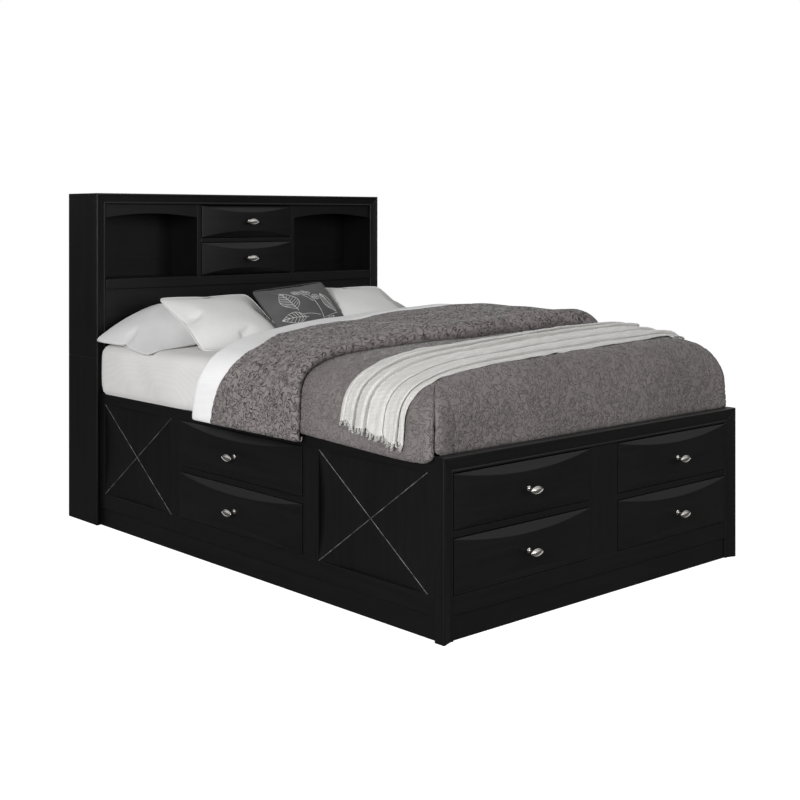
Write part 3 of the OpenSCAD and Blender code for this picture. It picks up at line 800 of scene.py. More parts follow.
def duvet_lower():
    step = 0.0062
    nx = int(2 * XT / step) | 1
    xs = np.linspace(-XT, XT, nx)
    ys = np.concatenate([np.arange(YB, 0.92, step), np.linspace(0.925, 1.285, 14)])
    ny = len(ys)
    X, Y = np.meshgrid(xs, ys, indexing="ij")
    top = np.stack([X, Y, height(X, Y)], -1).reshape(-1, 3)
    pat = np.stack([X / XT * A1, Y], -1).reshape(-1, 2)
    low = np.stack([X * 0.99, Y, np.full_like(X, 0.806)], -1).reshape(-1, 3)
    faces = [f[::-1] for f in grid_faces(nx, ny)]
    V, I, P = [top], [low], [pat]
    idx = lambda i, j: i * ny + j
    # border path: left side from the head, round the foot, up the right side
    path = [(idx(0, j), (-1.0, 0.0)) for j in range(ny - 1, -1, -1)]
    nc = 34
    th = np.concatenate([np.linspace(0, 0.72, 9)[1:], 0.785398 + np.array([-0.05, -0.035, -0.022, -0.011, 0, 0.011, 0.022, 0.035, 0.05]),
                         np.linspace(math.pi / 2 - 0.72, math.pi / 2, 9)[:-1]])
    path += [(idx(0, 0), (-math.cos(t), -math.sin(t))) for t in th]
    path += [(idx(i, 0), (0.0, -1.0)) for i in range(nx)]
    path += [(idx(nx - 1, 0), (math.sin(t), -math.cos(t))) for t in th]
    path += [(idx(nx - 1, j), (1.0, 0.0)) for j in range(ny)]
    bend_t = np.linspace(0, 1, 28)[1:]
    drop = np.concatenate([np.arange(step, 0.118, step), [0.122, 0.127, 0.131, 0.134]])
    # each path column: rows down the bend, then the drop
    rows = len(bend_t) + len(drop)
    tot = top.shape[0]
    K = len(path)
    B = np.array([top[p[0]] for p in path])
    N = np.array([p[1] for p in path])
    PB = np.array([pat[p[0]] for p in path])
    ang = np.degrees(np.arctan2(-N[:, 1], np.abs(N[:, 0])))          # 0 side, 90 foot
    slit = np.exp(-((ang - 45) * math.radians(1) * 0.1 / 0.0042) ** 2)
    near = np.exp(-((ang - 45) * math.radians(1) * 0.1 / 0.017) ** 2)
    D = DB + (DF - DB) * np.clip(ang / 90, 0, 1)
    side_hem = 0.0
    out, inn, pt = [], [], []
    foot = np.clip(ang / 90, 0, 1)
    zhem = 0.566 + 0.022 * (foot > 0.5) + 0.021 * np.clip((B[:, 1] - 0.2) / 0.5, 0, 1)
    s_along = np.concatenate([[0], np.cumsum(np.hypot(*(np.diff(B[:, :2] + N * D[:, None], axis=0)).T))])
    ripple = 0.0035 * np.sin(s_along / 0.115 + 1.3 * np.sin(s_along / 0.31)) + 0.0035 * (vnoise(s_along / 0.16, s_along * 0, 5) - 0.5)
    for r in range(rows):
        if r < len(bend_t):
            t = bend_t[r]
            o, dz = bend(t, B[:, 2], D)
            z = B[:, 2] - dz
            depth = np.clip((0.775 - z) / 0.06, 0, 1)
            length = t * (A2 - A1)
            e = 0.0
            zi = ZV + (0.806 - ZV) * math.cos(t * math.pi / 2)
            oi = (D - 0.030) * math.sin(t * math.pi / 2)
        else:
            q = drop[r - len(bend_t)]
            f = q / drop[-1]
            z = ZV - f * (ZV - zhem) + near * 0.016 * f ** 6
            o = D + 0.0
            depth = np.ones(K)
            length = (A2 - A1) + q
            k = np.clip((drop[-1] - q) / 0.014, 0, 1)
            e = 0.0115 * (1 - math.sqrt(max(1 - (1 - k) ** 2, 0)))
            zi = z
            oi = D - 0.030 + 0.0115 * (1 - math.sqrt(max(1 - (1 - k) ** 2, 0)))
        w = np.clip((length - 0.09) / 0.12, 0, 1)
        pw = 2.0 + 4.0 * min(length / (A2 - A1), 1.0) ** 2
        sq = (np.abs(N[:, 0]) ** pw + np.abs(N[:, 1]) ** pw) ** (-1 / pw)
        flare = 0.008 * np.clip((length - 0.15) / 0.17, 0, 1)
        o = (o - e + flare) * sq + ripple * w - slit * 0.024 * depth ** 1.5 + near * 0.004 * depth
        oi = np.minimum((oi + flare) * sq - slit * 0.012 * depth, o - 0.004)
        out.append(np.stack([B[:, 0] + N[:, 0] * o, B[:, 1] + N[:, 1] * o, z + 0 * o], -1))
        inn.append(np.stack([B[:, 0] + N[:, 0] * oi, B[:, 1] + N[:, 1] * oi, zi + 0 * oi], -1))
        pt.append(PB + N * length)
    out, inn, pt = np.stack(out, 1), np.stack(inn, 1), np.stack(pt, 1)
    V.append(out.reshape(-1, 3))
    I.append(inn.reshape(-1, 3))
    P.append(pt.reshape(-1, 2))
    col = lambda k, r: path[k][0] if r < 0 else tot + k * rows + r
    for k in range(K - 1):
        for r in range(-1, rows - 1):
            q = [col(k, r), col(k, r + 1), col(k + 1, r + 1), col(k + 1, r)]
            u = []
            for v in q:
                if v not in u:
                    u.append(v)
            if len(u) > 2:
                faces.append(tuple(u))
    V, I, P = np.vstack(V), np.vstack(I), np.vstack(P)
    E = np.array([(f[i], f[(i + 1) % len(f)]) for f in faces for i in range(len(f))])
    ru = np.full(len(V), 9.0)
    ru[:tot] = np.minimum(XT - np.abs(V[:tot, 0]), V[:tot, 1] - YB)
    ru[tot:] = np.tile(np.concatenate([bend_t * (A2 - A1), np.full(len(drop), 9.0)]), K)
    wgt = np.clip(1 - ru / 0.05, 0, 1)[:, None] * (V[:, 1] < 1.3)[:, None]
    for _ in range(14):
        acc, cnt = np.zeros_like(V), np.zeros((len(V), 1))
        np.add.at(acc, E[:, 0], V[E[:, 1]])
        np.add.at(cnt, E[:, 0], 1)
        np.add.at(acc, E[:, 1], V[E[:, 0]])
        np.add.at(cnt, E[:, 1], 1)
        V = V + wgt * 0.5 * (acc / np.maximum(cnt, 1) - V)
    n = vert_normals(V, faces)
    if n[nx * ny // 2][2] < 0:
        n = -n
    edge = np.ones(len(V))
    keep = np.ones((K, rows))
    keep[:, -5:] = [0.8, 0.55, 0.3, 0.1, 0.0]
    keep *= (1 - 0.9 * slit)[:, None]
    edge[tot:] = keep.reshape(-1)
    q = puffs(P[:, 0], P[:, 1])
    swell = vnoise(P[:, 0] / 0.21, P[:, 1] / 0.21, 21) - 0.5
    into = np.minimum(P[:, 1] - curve(P[:, 0], *TH_FOOT), curve(P[:, 0], *TH_HEAD) - P[:, 1])
    into = np.minimum(np.minimum(into, P[:, 0] + 1.03), 0.75 - P[:, 0])
    edge = edge * (1 - 0.82 * np.clip(into / 0.02, 0, 1))
    V = V + n * (edge * (0.0062 * q + 0.009 * swell * np.clip(V[:, 2] - 0.7, 0, 0.1) * 10))[:, None]
    ob = shell("duvet_body", V, I, faces, QUILT, BED)
    return ob


def strap(name, al, ar, b0, b1, rows_b, rows_h, base, thick, mat, quilt=0.0, extra=None, na=300, side_scale=0.6):
    """A padded layer over the bed from hem to hem. rows_b, rows_h give the section: place from its
    foot edge (0) to its head edge (1) in metres offsets and the fraction of the thickness there."""
    t = np.linspace(0, 1, na)
    a_mid = al + (ar - al) * t
    a = np.concatenate([al + np.array([0, 0.001, 0.003, 0.006, 0.010]), a_mid[(a_mid > al + 0.014) & (a_mid < ar - 0.014)],
                        ar - np.array([0.010, 0.006, 0.003, 0.001, 0])])
    d = np.minimum(a - al, ar - a)
    hem = np.sqrt(np.clip(1 - (1 - np.clip(d / 0.016, 0, 1)) ** 2, 0, 1))
    Y0, Y1 = b0(a), b1(a)
    fr, offs = rows_b
    b = Y0[:, None] + (Y1 - Y0)[:, None] * fr[None, :] + offs[None, :]
    h = rows_h[None, :] * np.ones((len(a), 1))
    A = a[:, None] * np.ones((1, len(fr)))
    th = thick(A, b)
    half = 0.5 * (1 - hem)[:, None]
    lo = base(A, b) + th * half * h
    hi = base(A, b) + th * h * (1 - half) + 0.0005
    if extra is not None:
        hi = hi + extra(A, b, h) * hem[:, None]
    if quilt:
        hi = hi + quilt * puffs(A, b) * np.clip(h * 1.5, 0, 1) * hem[:, None]
    V = over(A, b, hi).reshape(-1, 3)
    I = over(A, b, lo).reshape(-1, 3)
    faces = grid_faces(len(a), len(fr))
    ob = shell(name, V, I, faces, mat, BED)
    return ob


def fold_rows(r0, r1, step, length):
    """Rounded foot edge of radius r0, flat middle and rounded head edge of radius r1."""
    under = -62 if r0 > 0.03 else -30
    f0 = np.radians(np.linspace(under, 90, 15))
    f1 = np.radians(np.linspace(90, -10, 12))
    s = math.sin(math.radians(-under))
    b0 = r0 * (1 - np.cos(f0))
    h0 = (np.sin(f0) + s) / (1 + s)
    mid = np.linspace(0, 1, max(int(length / step), 4))[1:-1]
    s1 = math.sin(math.radians(10))
    b1 = -r1 * (1 - np.cos(f1))
    h1 = (np.sin(f1) + s1) / (1 + s1)
    frac = np.concatenate([np.zeros(15), mid, np.ones(12)])
    offs = np.concatenate([b0, r0 + (-r1 - r0) * mid, b1])
    h = np.concatenate([h0, np.ones(len(mid)), h1])
    return (frac, offs), h


def turned_back():
    ak = [-1.09, -0.94, -0.87, -0.80, -0.70, -0.55, -0.35, 0.0, 0.3, 0.5, 0.8, 1.06]
    bk = [0.700, 0.690, 0.696, 0.715, 0.740, 0.750, 0.725, 0.700, 0.690, 0.680, 0.665, 0.680]
    a2 = [-1.09, -0.94, -0.86, -0.75, -0.60, -0.34, 0.0, 0.4, 0.8, 1.06]
    b2 = [1.245, 1.190, 1.130, 1.105, 1.165, 1.255, 1.350, 1.410, 1.400, 1.300]
    foot = lambda a: curve(a, ak, bk)
    head = lambda a: curve(a, a2, b2)
    rb, rh = fold_rows(0.046, 0.012, 0.0062, 0.62)

    def base(A, b):
        return 0.004 + 0 * A

    def thick(A, b):
        t = curve(A, [-1.09, -0.95, -0.85, -0.72, -0.5, 0.0, 0.5, 0.74, 0.86, 1.0, 1.06],
                  [0.026, 0.032, 0.036, 0.040, 0.046, 0.054, 0.066, 0.066, 0.044, 0.030, 0.024])
        near_foot = np.exp(-((b - curve(A, ak, bk)) / 0.16) ** 2)
        near_head = np.exp(-((b - curve(A, a2, b2)) / 0.11) ** 2) * np.clip((A + 0.60) / 0.35, 0, 1)
        return t * (1 + 0.20 * near_foot * np.clip(1.0 - np.abs(A), 0, 1) - 0.24 * near_head)

    def extra(A, b, h):
        soft = 0.010 * (vnoise(A / 0.20, b / 0.26, 31) - 0.5) + 0.006 * (vnoise(A / 0.09, b / 0.12, 32) - 0.5)
        # soft creases that run down from the corner of the fold
        l1 = (b - 0.797) - (A + 0.833) * 1.27
        along = np.clip((-0.80 - A) / 0.03, 0, 1) * np.clip((A + 0.985) / 0.04, 0, 1)
        l2 = (b - 0.90) - (A + 0.86) * 1.1
        along2 = np.clip((-0.84 - A) / 0.04, 0, 1) * np.clip((A + 1.02) / 0.05, 0, 1)
        return h * (soft - 0.013 * np.exp(-(l1 / 0.012) ** 2) * along + 0.007 * np.exp(-((l1 - 0.028) / 0.02) ** 2) * along
                    - 0.006 * np.exp(-(l2 / 0.014) ** 2) * along2)
    ob = strap("duvet_turned_back", -1.064, 1.055, foot, head, rb, rh, base, thick, QUILT_BACK,
               quilt=0.0078, extra=extra, na=380)
    return ob


def white_band():
    a1 = [-1.09, -0.94, -0.86, -0.75, -0.60, -0.34, 0.0, 0.4, 0.8, 1.06]
    b1 = [1.205, 1.15, 1.09, 1.065, 1.135, 1.235, 1.335, 1.395, 1.385, 1.28]
    a2 = [-1.09, -0.94, -0.86, -0.80, -0.70, -0.5, -0.3, 0.0, 0.5, 0.8, 1.06]
    b2 = [1.400, 1.365, 1.335, 1.335, 1.365, 1.425, 1.465, 1.490, 1.490, 1.455, 1.400]
    rb, rh = fold_rows(0.022, 0.040, 0.010, 0.2)
    foot = lambda a: curve(a, a1, b1)
    head = lambda a: curve(a, a2, b2)

    def base(A, b):
        drop = np.clip((np.abs(A) - 0.70) / 0.1, 0, 1)
        return -0.062 * (1 - drop) - 0.006 * drop

    def thick(A, b):
        t = curve(A, [-1.09, -0.95, -0.85, -0.72, -0.5, 0.0, 0.5, 0.74, 0.86, 1.0, 1.06],
                  [0.024, 0.029, 0.032, 0.033, 0.040, 0.060, 0.074, 0.070, 0.042, 0.026, 0.020])
        return t - base(A, b) - 0.004 + 0.006 * (vnoise(A / 0.14, b / 0.2, 41) - 0.5)
    ob = strap("sheet_fold", -1.066, 1.05, foot, head, rb, rh, base, thick, PERCALE, na=170)
    return ob


# ------------------------------------------------------------------ throw
def throw_surface(A, v, side=0.0):
    """v runs across the throw from its foot edge; sharp folds lie along its length."""
    Yf, Yh = curve(A, *TH_FOOT), curve(A, *TH_HEAD)
    drift = 0.10 * (vnoise(A / 0.55, v * 0 + 0.5, 51) - 0.5) + 0.05 * (vnoise(A / 0.24, v * 2.2, 52) - 0.5)
    p = np.clip(v, 0, 1) + drift * np.sin(np.pi * np.clip(v, 0, 1))
    n = 5.0
    q = n * (p + 0.045 * np.sin(2 * np.pi * p + 0.6) - 0.045 * math.sin(0.6)) + 0.35
    i = np.floor(q)
    f = q - i
    hang = np.clip((-A - 0.80) / 0.18, 0, 1)
    amp = (0.0105 + 0.0085 * hashed(i, 3 + 0 * i, 5)) * (0.55 + 0.9 * vnoise(A / 0.26 + 7, i * 5.3, 53)) * (1 + 0.55 * hang)
    g = 1 - (1 - f) ** 2.1
    prof = np.sin(np.pi * g) ** 0.85
    edge = np.clip(np.sin(np.pi * np.clip(v, 0, 1)) * 3.0, 0, 1)
    second = 0.0014 * np.sin(np.pi * f) * np.sin(2 * np.pi * (2.6 * f + 2.0 * vnoise(A / 0.2, i * 3.1, 57)))
    vv = v - 0.34 / n * prof * edge
    Y = Yf + (Yh - Yf) * vv
    crumple = 0.0024 * (vnoise(A / 0.05, v * 9, 54) - 0.5) + 0.0012 * (vnoise(A / 0.02, v * 22, 56) - 0.5)
    return Y, 0.0085 + amp * prof * (0.3 + 0.7 * edge) + second + crumple * np.sqrt(np.abs(prof)) + 0.008 * hang + side


def throw_piece():
    na, nv = 400, 190
    ar = 0.742
    t = np.linspace(0, 1, na)
    v = np.linspace(0, 1, nv)
    T, Vv = np.meshgrid(t, v, indexing="ij")
    lo_end = -1.004 + 0.050 * Vv + 0.006 * np.sin(Vv * 23)
    A = lo_end + (ar + 0.012 * np.sin(Vv * 17) - lo_end) * T
    Y, off = throw_surface(A, Vv)
    outer = over(A, Y, off).reshape(-1, 3)
    F = grid_faces(na, nv)
    n = vert_normals(outer, F)
    if n[na // 2 * nv + nv // 2][2] < 0:
        n = -n
    inner = outer - n * 0.0026
    ob = shell("throw_cloth", outer, inner, F, THROW, BED)
    rng = np.random.default_rng(7)
    bm = bmesh.new()

    def tube(pts, rad, sides=5):
        prev = None
        for i, p in enumerate(pts):
            q = pts[min(i + 1, len(pts) - 1)] - pts[max(i - 1, 0)]
            q = Vector(q).normalized()
            u = q.orthogonal().normalized()
            w = q.cross(u)
            r = rad[i] if hasattr(rad, "__len__") else rad
            ring = [bm.verts.new(Vector(p) + (u * math.cos(2 * math.pi * k / sides) + w * math.sin(2 * math.pi * k / sides)) * r) for k in range(sides)]
            if prev:
                for k in range(sides):
                    bm.faces.new((prev[k], prev[(k + 1) % sides], ring[(k + 1) % sides], ring[k]))
            else:
                bm.faces.new(ring[::-1])
            prev = ring
        bm.faces.new(prev)
    for end in (0, 1):
        count = 46 if end == 0 else 40
        for k in range(count):
            v0 = (k + 0.5) / count + rng.uniform(-0.006, 0.006)
            start = (-1.004 + 0.050 * v0 + 0.006 * math.sin(v0 * 23) + 0.003) if end == 0 else ar + 0.012 * math.sin(v0 * 17) - 0.003
            sgn = -1 if end == 0 else 1
            L = rng.uniform(0.017, 0.029)
            swing = rng.uniform(-0.45, 0.45)
            for s in range(3):
                phase = s * 2.094 + rng.uniform(0, 1)
                pts = []
                nseg = 12
                for i in range(nseg + 1):
                    f = i / nseg
                    a = start + sgn * L * f
                    Ys, of = throw_surface(np.array([start]), np.array([v0]))
                    spread = 0.0009 + 0.0026 * f
                    Yp = Ys[0] + swing * L * f * f + spread * math.cos(phase + 13 * f) - YM * 0
                    op = of[0] - 0.001 + spread * math.sin(phase + 13 * f) + (0.004 * f if end == 0 else -0.003 * f)
                    P = over(np.array([a]), np.array([Yp]), np.array([max(op, 0.004)]))[0]
                    P[1] -= YM
                    pts.append(P)
                tube(np.array(pts), [0.00095] * (nseg) + [0.0005], 5)
            # knot
            Ys, of = throw_surface(np.array([start]), np.array([v0]))
            kp = [over(np.array([start + sgn * q]), Ys, of - 0.001)[0] - np.array([0, YM, 0]) for q in (0.0, 0.0015, 0.0035, 0.0055, 0.007)]
            tube(np.array(kp), [0.0009, 0.0023, 0.0029, 0.0022, 0.0009], 7)
    fr = new_object("throw_fringe", bm, 80)
    fr.data.materials.append(THROW)
    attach(fr, BED)
    me = ob.data
    area = sum(p.area for p in me.polygons) / 2
    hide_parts("throw")
    return ob, fr, area


lower = duvet_lower()
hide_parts("duvet")
turned_back()
white_band()
TH, FR, TH_AREA = throw_piece()


# ------------------------------------------------------------------ mattress
def mattress():
    lo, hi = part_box("mattress")
    L0, L1, W = lo[1] + YM, hi[1] + YM + 0.008, 0.789
    z0, z1 = 0.5785, 0.803
    R = 0.042
    # plan outline: rounded rectangle
    pts = []
    for cxs, cys, a0 in ((W - R, L1 - R, 0), (-W + R, L1 - R, 90), (-W + R, L0 + R, 180), (W - R, L0 + R, 270)):
        for k in range(13):
            a = math.radians(a0 + 90 * k / 12)
            pts.append((cxs + R * math.cos(a), cys + R * math.sin(a)))
    dense = []
    for i in range(len(pts)):
        p, q = np.array(pts[i]), np.array(pts[(i + 1) % len(pts)])
        m = max(1, int(np.linalg.norm(q - p) / 0.03))
        dense += [tuple(p + (q - p) * k / m) for k in range(m)]
    P = np.array(dense)
    C = P - np.array([0, (L0 + L1) / 2])
    nrm = np.roll(P, -1, 0) - np.roll(P, 1, 0)
    nrm = np.stack([nrm[:, 1], -nrm[:, 0]], -1)
    nrm /= np.linalg.norm(nrm, axis=1, keepdims=True)
    s = np.cumsum(np.hypot(*(P - np.roll(P, 1, 0)).T))
    prof = []
    for k in range(9):
        a = math.radians(-90 + 90 * k / 8)
        prof.append((-0.006 + 0.006 * math.cos(a), z0 + 0.006 + 0.006 * math.sin(a)))
    for z in np.linspace(z0 + 0.013, z1 - 0.055, 11):
        f = (z - z0) / (z1 - z0)
        prof.append((0.018 * math.sin(math.pi * f) ** 0.5, z))
    for k in range(1, 12):
        a = math.radians(90 * k / 11)
        prof.append((-0.048 + 0.062 * math.cos(a), z1 - 0.050 + 0.050 * math.sin(a)))
    bm = bmesh.new()
    rings = []
    for o, z in prof:
        wr = 0.0035 * (vnoise(s / 0.16, s * 0 + z * 9, 61) - 0.5) + 0.002 * np.sin(s / 0.05 + 20 * z + 3 * vnoise(s / 0.3, s * 0, 62))
        f = np.clip((z - z0) / (z1 - z0), 0, 1)
        cov = np.clip((1.30 - P[:, 1]) / 0.10, 0, 1)
        q = P + nrm * (o - 0.024 * cov + wr * math.sin(math.pi * f))[:, None]
        q[:, 0] += np.sign(q[:, 0]) * 0.020 * np.clip((P[:, 1] - 1.40) / 0.15, 0, 1)
        rings.append([bm.verts.new((x, y - YM, z - 0.012 * f * c)) for (x, y), c in zip(q, cov)])
    m = len(P)
    for a, b in zip(rings[:-1], rings[1:]):
        for i in range(m):
            j = (i + 1) % m
            bm.faces.new((a[i], a[j], b[j], b[i]))
    bm.faces.new(rings[0][::-1])
    # top: shrinking rings with a slight crown
    prev = rings[-1]
    base = np.array([(v.co.x, v.co.y + YM) for v in prev])
    c = np.array([0, (L0 + L1) / 2])
    for k in (0.9, 0.75, 0.55, 0.3):
        q = c + (base - c) * k
        zz = z1 + 0.002 * (1 - k)
        ring = [bm.verts.new((x, y - YM, zz - 0.012 * min(max((1.30 - y) / 0.1, 0), 1) + 0.002 * (vnoise(x / 0.2 + 9, y / 0.2, 63) - 0.5))) for x, y in q]
        for i in range(m):
            j = (i + 1) % m
            bm.faces.new((prev[i], prev[j], ring[j], ring[i]))
        prev = ring
    bm.faces.new(prev)
    ob = new_object("mattress_in_sheet", bm, 60)
    ob.data.materials.append(SHEET)
    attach(ob, BED)
    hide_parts("mattress")


mattress()


# ------------------------------------------------------------------ pillows
def stuffed(w, h, t, seed, step=0.016, soft=1.0, square=0.6, ears=0.016):
    """Two squares of cloth sewn at the edge and blown up by a cloth simulation; returns vertices and faces."""
    nx, ny = int(w / step), int(h / step)
    xs, ys = np.linspace(-w / 2, w / 2, nx + 1), np.linspace(-h / 2, h / 2, ny + 1)
    X, Y = np.meshgrid(xs, ys, indexing="ij")
    ux, uy = X / (w / 2), Y / (h / 2)
    dome = np.clip((1 - ux ** 2) * (1 - uy ** 2), 0, 1) ** 0.5
    zt = 0.35 * t / 2 * dome + 0.0015 * (vnoise(X / 0.07 + seed, Y / 0.07, seed) - 0.5) * dome
    border = (np.abs(ux) > 0.9999) | (np.abs(uy) > 0.9999)
    V, id_top, id_bot = [], np.zeros(X.shape, int), np.zeros(X.shape, int)
    for i in range(nx + 1):
        for j in range(ny + 1):
            id_top[i, j] = len(V)
            V.append((X[i, j], Y[i, j], zt[i, j]))
    for i in range(nx + 1):
        for j in range(ny + 1):
            if border[i, j]:
                id_bot[i, j] = id_top[i, j]
            else:
                id_bot[i, j] = len(V)
                V.append((X[i, j], Y[i, j], -zt[i, j]))
    F = []
    for i in range(nx):
        for j in range(ny):
            F.append((id_top[i, j], id_top[i + 1, j], id_top[i + 1, j + 1], id_top[i, j + 1]))
            F.append((id_bot[i, j], id_bot[i, j + 1], id_bot[i + 1, j + 1], id_bot[i + 1, j]))
    me = bpy.data.meshes.new("blow")
    me.from_pydata(V, [], F)
    ob = bpy.data.objects.new("blow", me)
    COL.objects.link(ob)
    c = ob.modifiers.new("c", "CLOTH")
    st = c.settings
    st.quality = 4
    st.mass = 0.25
    st.tension_stiffness = 22
    st.compression_stiffness = 10
    st.shear_stiffness = 6
    st.bending_stiffness = 0.25 * soft
    st.tension_damping = 12
    st.compression_damping = 12
    st.use_pressure = True
    st.uniform_pressure_force = 4.0
    st.effector_weights.gravity = 0
    c.collision_settings.use_collision = False
    c.collision_settings.use_self_collision = False
    sc = bpy.context.scene
    c.point_cache.frame_start, c.point_cache.frame_end = 1, 22
    for f in range(1, 23):
        sc.frame_set(f)
    apply_mods(ob)
    sc.frame_set(1)
    co = np.array([v.co[:] for v in ob.data.vertices])
    co -= co.mean(0)
    ext = co.max(0) - co.min(0)
    co[:, 2] *= t / ext[2]
    co[:, 0] *= w / ext[0]
    co[:, 1] *= h / ext[1]
    flat = np.array(V)
    k = square * np.abs(flat[:, 0] / (w / 2)) ** 4 * 1.0
    co[:, 0] = co[:, 0] * (1 - k) + flat[:, 0] * k
    k = square * np.abs(flat[:, 1] / (h / 2)) ** 4 * 1.0
    co[:, 1] = co[:, 1] * (1 - k) + flat[:, 1] * k
    ear = np.abs(flat[:, 0] / (w / 2)) ** 7 * np.abs(flat[:, 1] / (h / 2)) ** 7
    co[:, :2] -= np.sign(flat[:, :2]) * ears * ear[:, None]
    E = np.array([(f[i], f[(i + 1) % 4]) for f in F for i in range(4)])
    cnt = np.bincount(E.ravel(), minlength=len(co))[:, None]
    for _ in range(6):
        acc = np.zeros_like(co)
        np.add.at(acc, E[:, 0], co[E[:, 1]])
        np.add.at(acc, E[:, 1], co[E[:, 0]])
        co[:, 2] += 0.5 * (acc / cnt - co)[:, 2]
    old = ob.data
    bpy.data.objects.remove(ob)
    bpy.data.meshes.remove(old)
    return co, F


def seat(co, loc, rot, floor_z=0.806, wall_y=None, sag=0.0, twist=None):
    """Places a stuffed form, after an optional twist."""
    M = Matrix.Translation(loc) @ Matrix.Rotation(math.radians(rot[2]), 4, "Z") @ Matrix.Rotation(math.radians(rot[1]), 4, "Y") @ Matrix.Rotation(math.radians(rot[0]), 4, "X")
    if twist is not None:
        co = twist(co.copy())
    p = np.array([(M @ Vector(c))[:] for c in co])
    return p


def soft_floor(z, z0, k=0.02):
    """Never below z0, with a soft knee."""
    d = (z - z0) / k
    return z0 + k * np.where(d > 6, d, np.log1p(np.exp(np.clip(d, -30, 6))))


def make_pillow(name, co, F, mat, node, sub=1, extra=None):
    me = bpy.data.meshes.new(name)
    V = co.copy()
    V[:, 1] -= YM
    me.from_pydata(V.tolist(), [], F)
    bm = bmesh.new()
    bm.from_mesh(me)
    bmesh.ops.recalc_face_normals(bm, faces=bm.faces[:])
    bm.to_mesh(me)
    bm.free()
    ob = bpy.data.objects.new(name, me)
    COL.objects.link(ob)
    s = ob.modifiers.new("s", "SUBSURF")
    s.levels = s.render_levels = sub
    apply_mods(ob)
    ob.data.polygons.foreach_set("use_smooth", [True] * len(ob.data.polygons))
    ob.data.materials.append(mat)
    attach(ob, BED)
    if node:
        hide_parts(node)
    return ob


def seam(name, co, w, h, step, mat, rad=0.0022):
    """Piped seam along the cloth edge of a stuffed form."""
    nx, ny = int(w / step), int(h / step)
    idx = lambda i, j: i * (ny + 1) + j
    loop = [idx(i, 0) for i in range(nx)] + [idx(nx, j) for j in range(ny)] + [idx(i, ny) for i in range(nx, 0, -1)] + [idx(0, j) for j in range(ny, 0, -1)]
    pts = co[loop].copy()
    pts[:, 1] -= YM
    for _ in range(2):
        pts = (np.roll(pts, 1, 0) + 2 * pts + np.roll(pts, -1, 0)) / 4
    bm = bmesh.new()
    n = len(pts)
    rings = []
    up = Vector((0, 0, 1))
    for i in range(n):
        d = Vector(pts[(i + 1) % n] - pts[i - 1]).normalized()
        u = d.cross(up)
        u = u.normalized() if u.length > 1e-4 else d.orthogonal().normalized()
        w_ = d.cross(u)
        rings.append([bm.verts.new(Vector(pts[i]) + (u * math.cos(k * math.pi / 3) + w_ * math.sin(k * math.pi / 3)) * rad) for k in range(6)])
    for i in range(n):
        a, b = rings[i], rings[(i + 1) % n]
        for k in range(6):
            bm.faces.new((a[k], a[(k + 1) % 6], b[(k + 1) % 6], b[k]))
    ob = new_object(name, bm, 80)
    ob.data.materials.append(mat)
    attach(ob, BED)
    return ob


AW, AH = 0.440, 0.352


def pillows():
    big, bigF = stuffed(0.70, 0.46, 0.165, 5)
    sh, shF = stuffed(0.47, 0.47, 0.115, 9, square=0.8, ears=0.010)
    ac, acF = stuffed(AW, AH, 0.105, 14, 0.014, square=0.97, ears=0.0)
    for side in (-1, 1):
        tag = "left" if side < 0 else "right"
        q = big.copy()
        if side > 0:
            q[:, 0] *= -1
        f = np.clip((side * q[:, 0] - 0.02) / 0.33, 0, 1) ** 1.3
        if side > 0:
            f = f * 0.45
        tau = np.radians(23) * (1 - 0.85 * f)
        y, z = q[:, 1], q[:, 2] * (1 - 0.30 * f)
        p = np.stack([side * (0.508 if side < 0 else 0.535) + q[:, 0] + 0.0 * y, 1.935 + y * np.cos(tau) - z * np.sin(tau),
                      0.893 - 0.092 * f + y * np.sin(tau) + z * np.cos(tau)], -1)
        edge = np.clip((np.abs(p[:, 0]) - 0.77) / 0.07, 0, 1)
        fl = 0.806 - 0.030 * edge ** 1.5
        p[:, 2] = soft_floor(p[:, 2], fl, 0.008)
        p[:, 1] = -soft_floor(-p[:, 1], -2.150, 0.010)
        Fp = bigF if side < 0 else [c[::-1] for c in bigF]
        make_pillow("sleeping_pillow_" + tag, p, Fp, CASE, "sleeping_pillows" if side < 0 else None)
        seam("sleeping_pillow_seam_" + tag, p, 0.70, 0.46, 0.016, CASE, 0.0016)
        q = sh.copy()
        if side > 0:
            q[:, 0] *= -1
        low = np.clip((-q[:, 1] - 0.06) / 0.19, 0, 1)
        q[:, 2] -= 0.040 * low ** 1.7
        p = seat(q, (-0.430, 1.735, 0.903), (26.5, 0, -3)) if side < 0 else seat(q, (0.344, 1.712, 0.921), (25, 0.5, -5))
        p[:, 2] = soft_floor(p[:, 2], 0.806, 0.008)
        Fp = shF if side < 0 else [c[::-1] for c in shF]
        make_pillow("sham_" + tag, p, Fp, SHAM, "sham_pillows" if side < 0 else None)
        seam("sham_seam_" + tag, p, 0.47, 0.47, 0.016, SHAM, 0.0022)
    p = seat(ac, (-0.052, 1.652, 0.917), (46, -3.5, 6))
    p[:, 2] = soft_floor(p[:, 2], 0.815, 0.010)
    acc = make_pillow("accent_cushion", p, acF, LINEN, "accent_pillow", 2)
    seam("accent_cushion_seam", p, AW, AH, 0.014, LINEN, 0.0016)
    return acc, p


ACC, ACC_P = pillows()


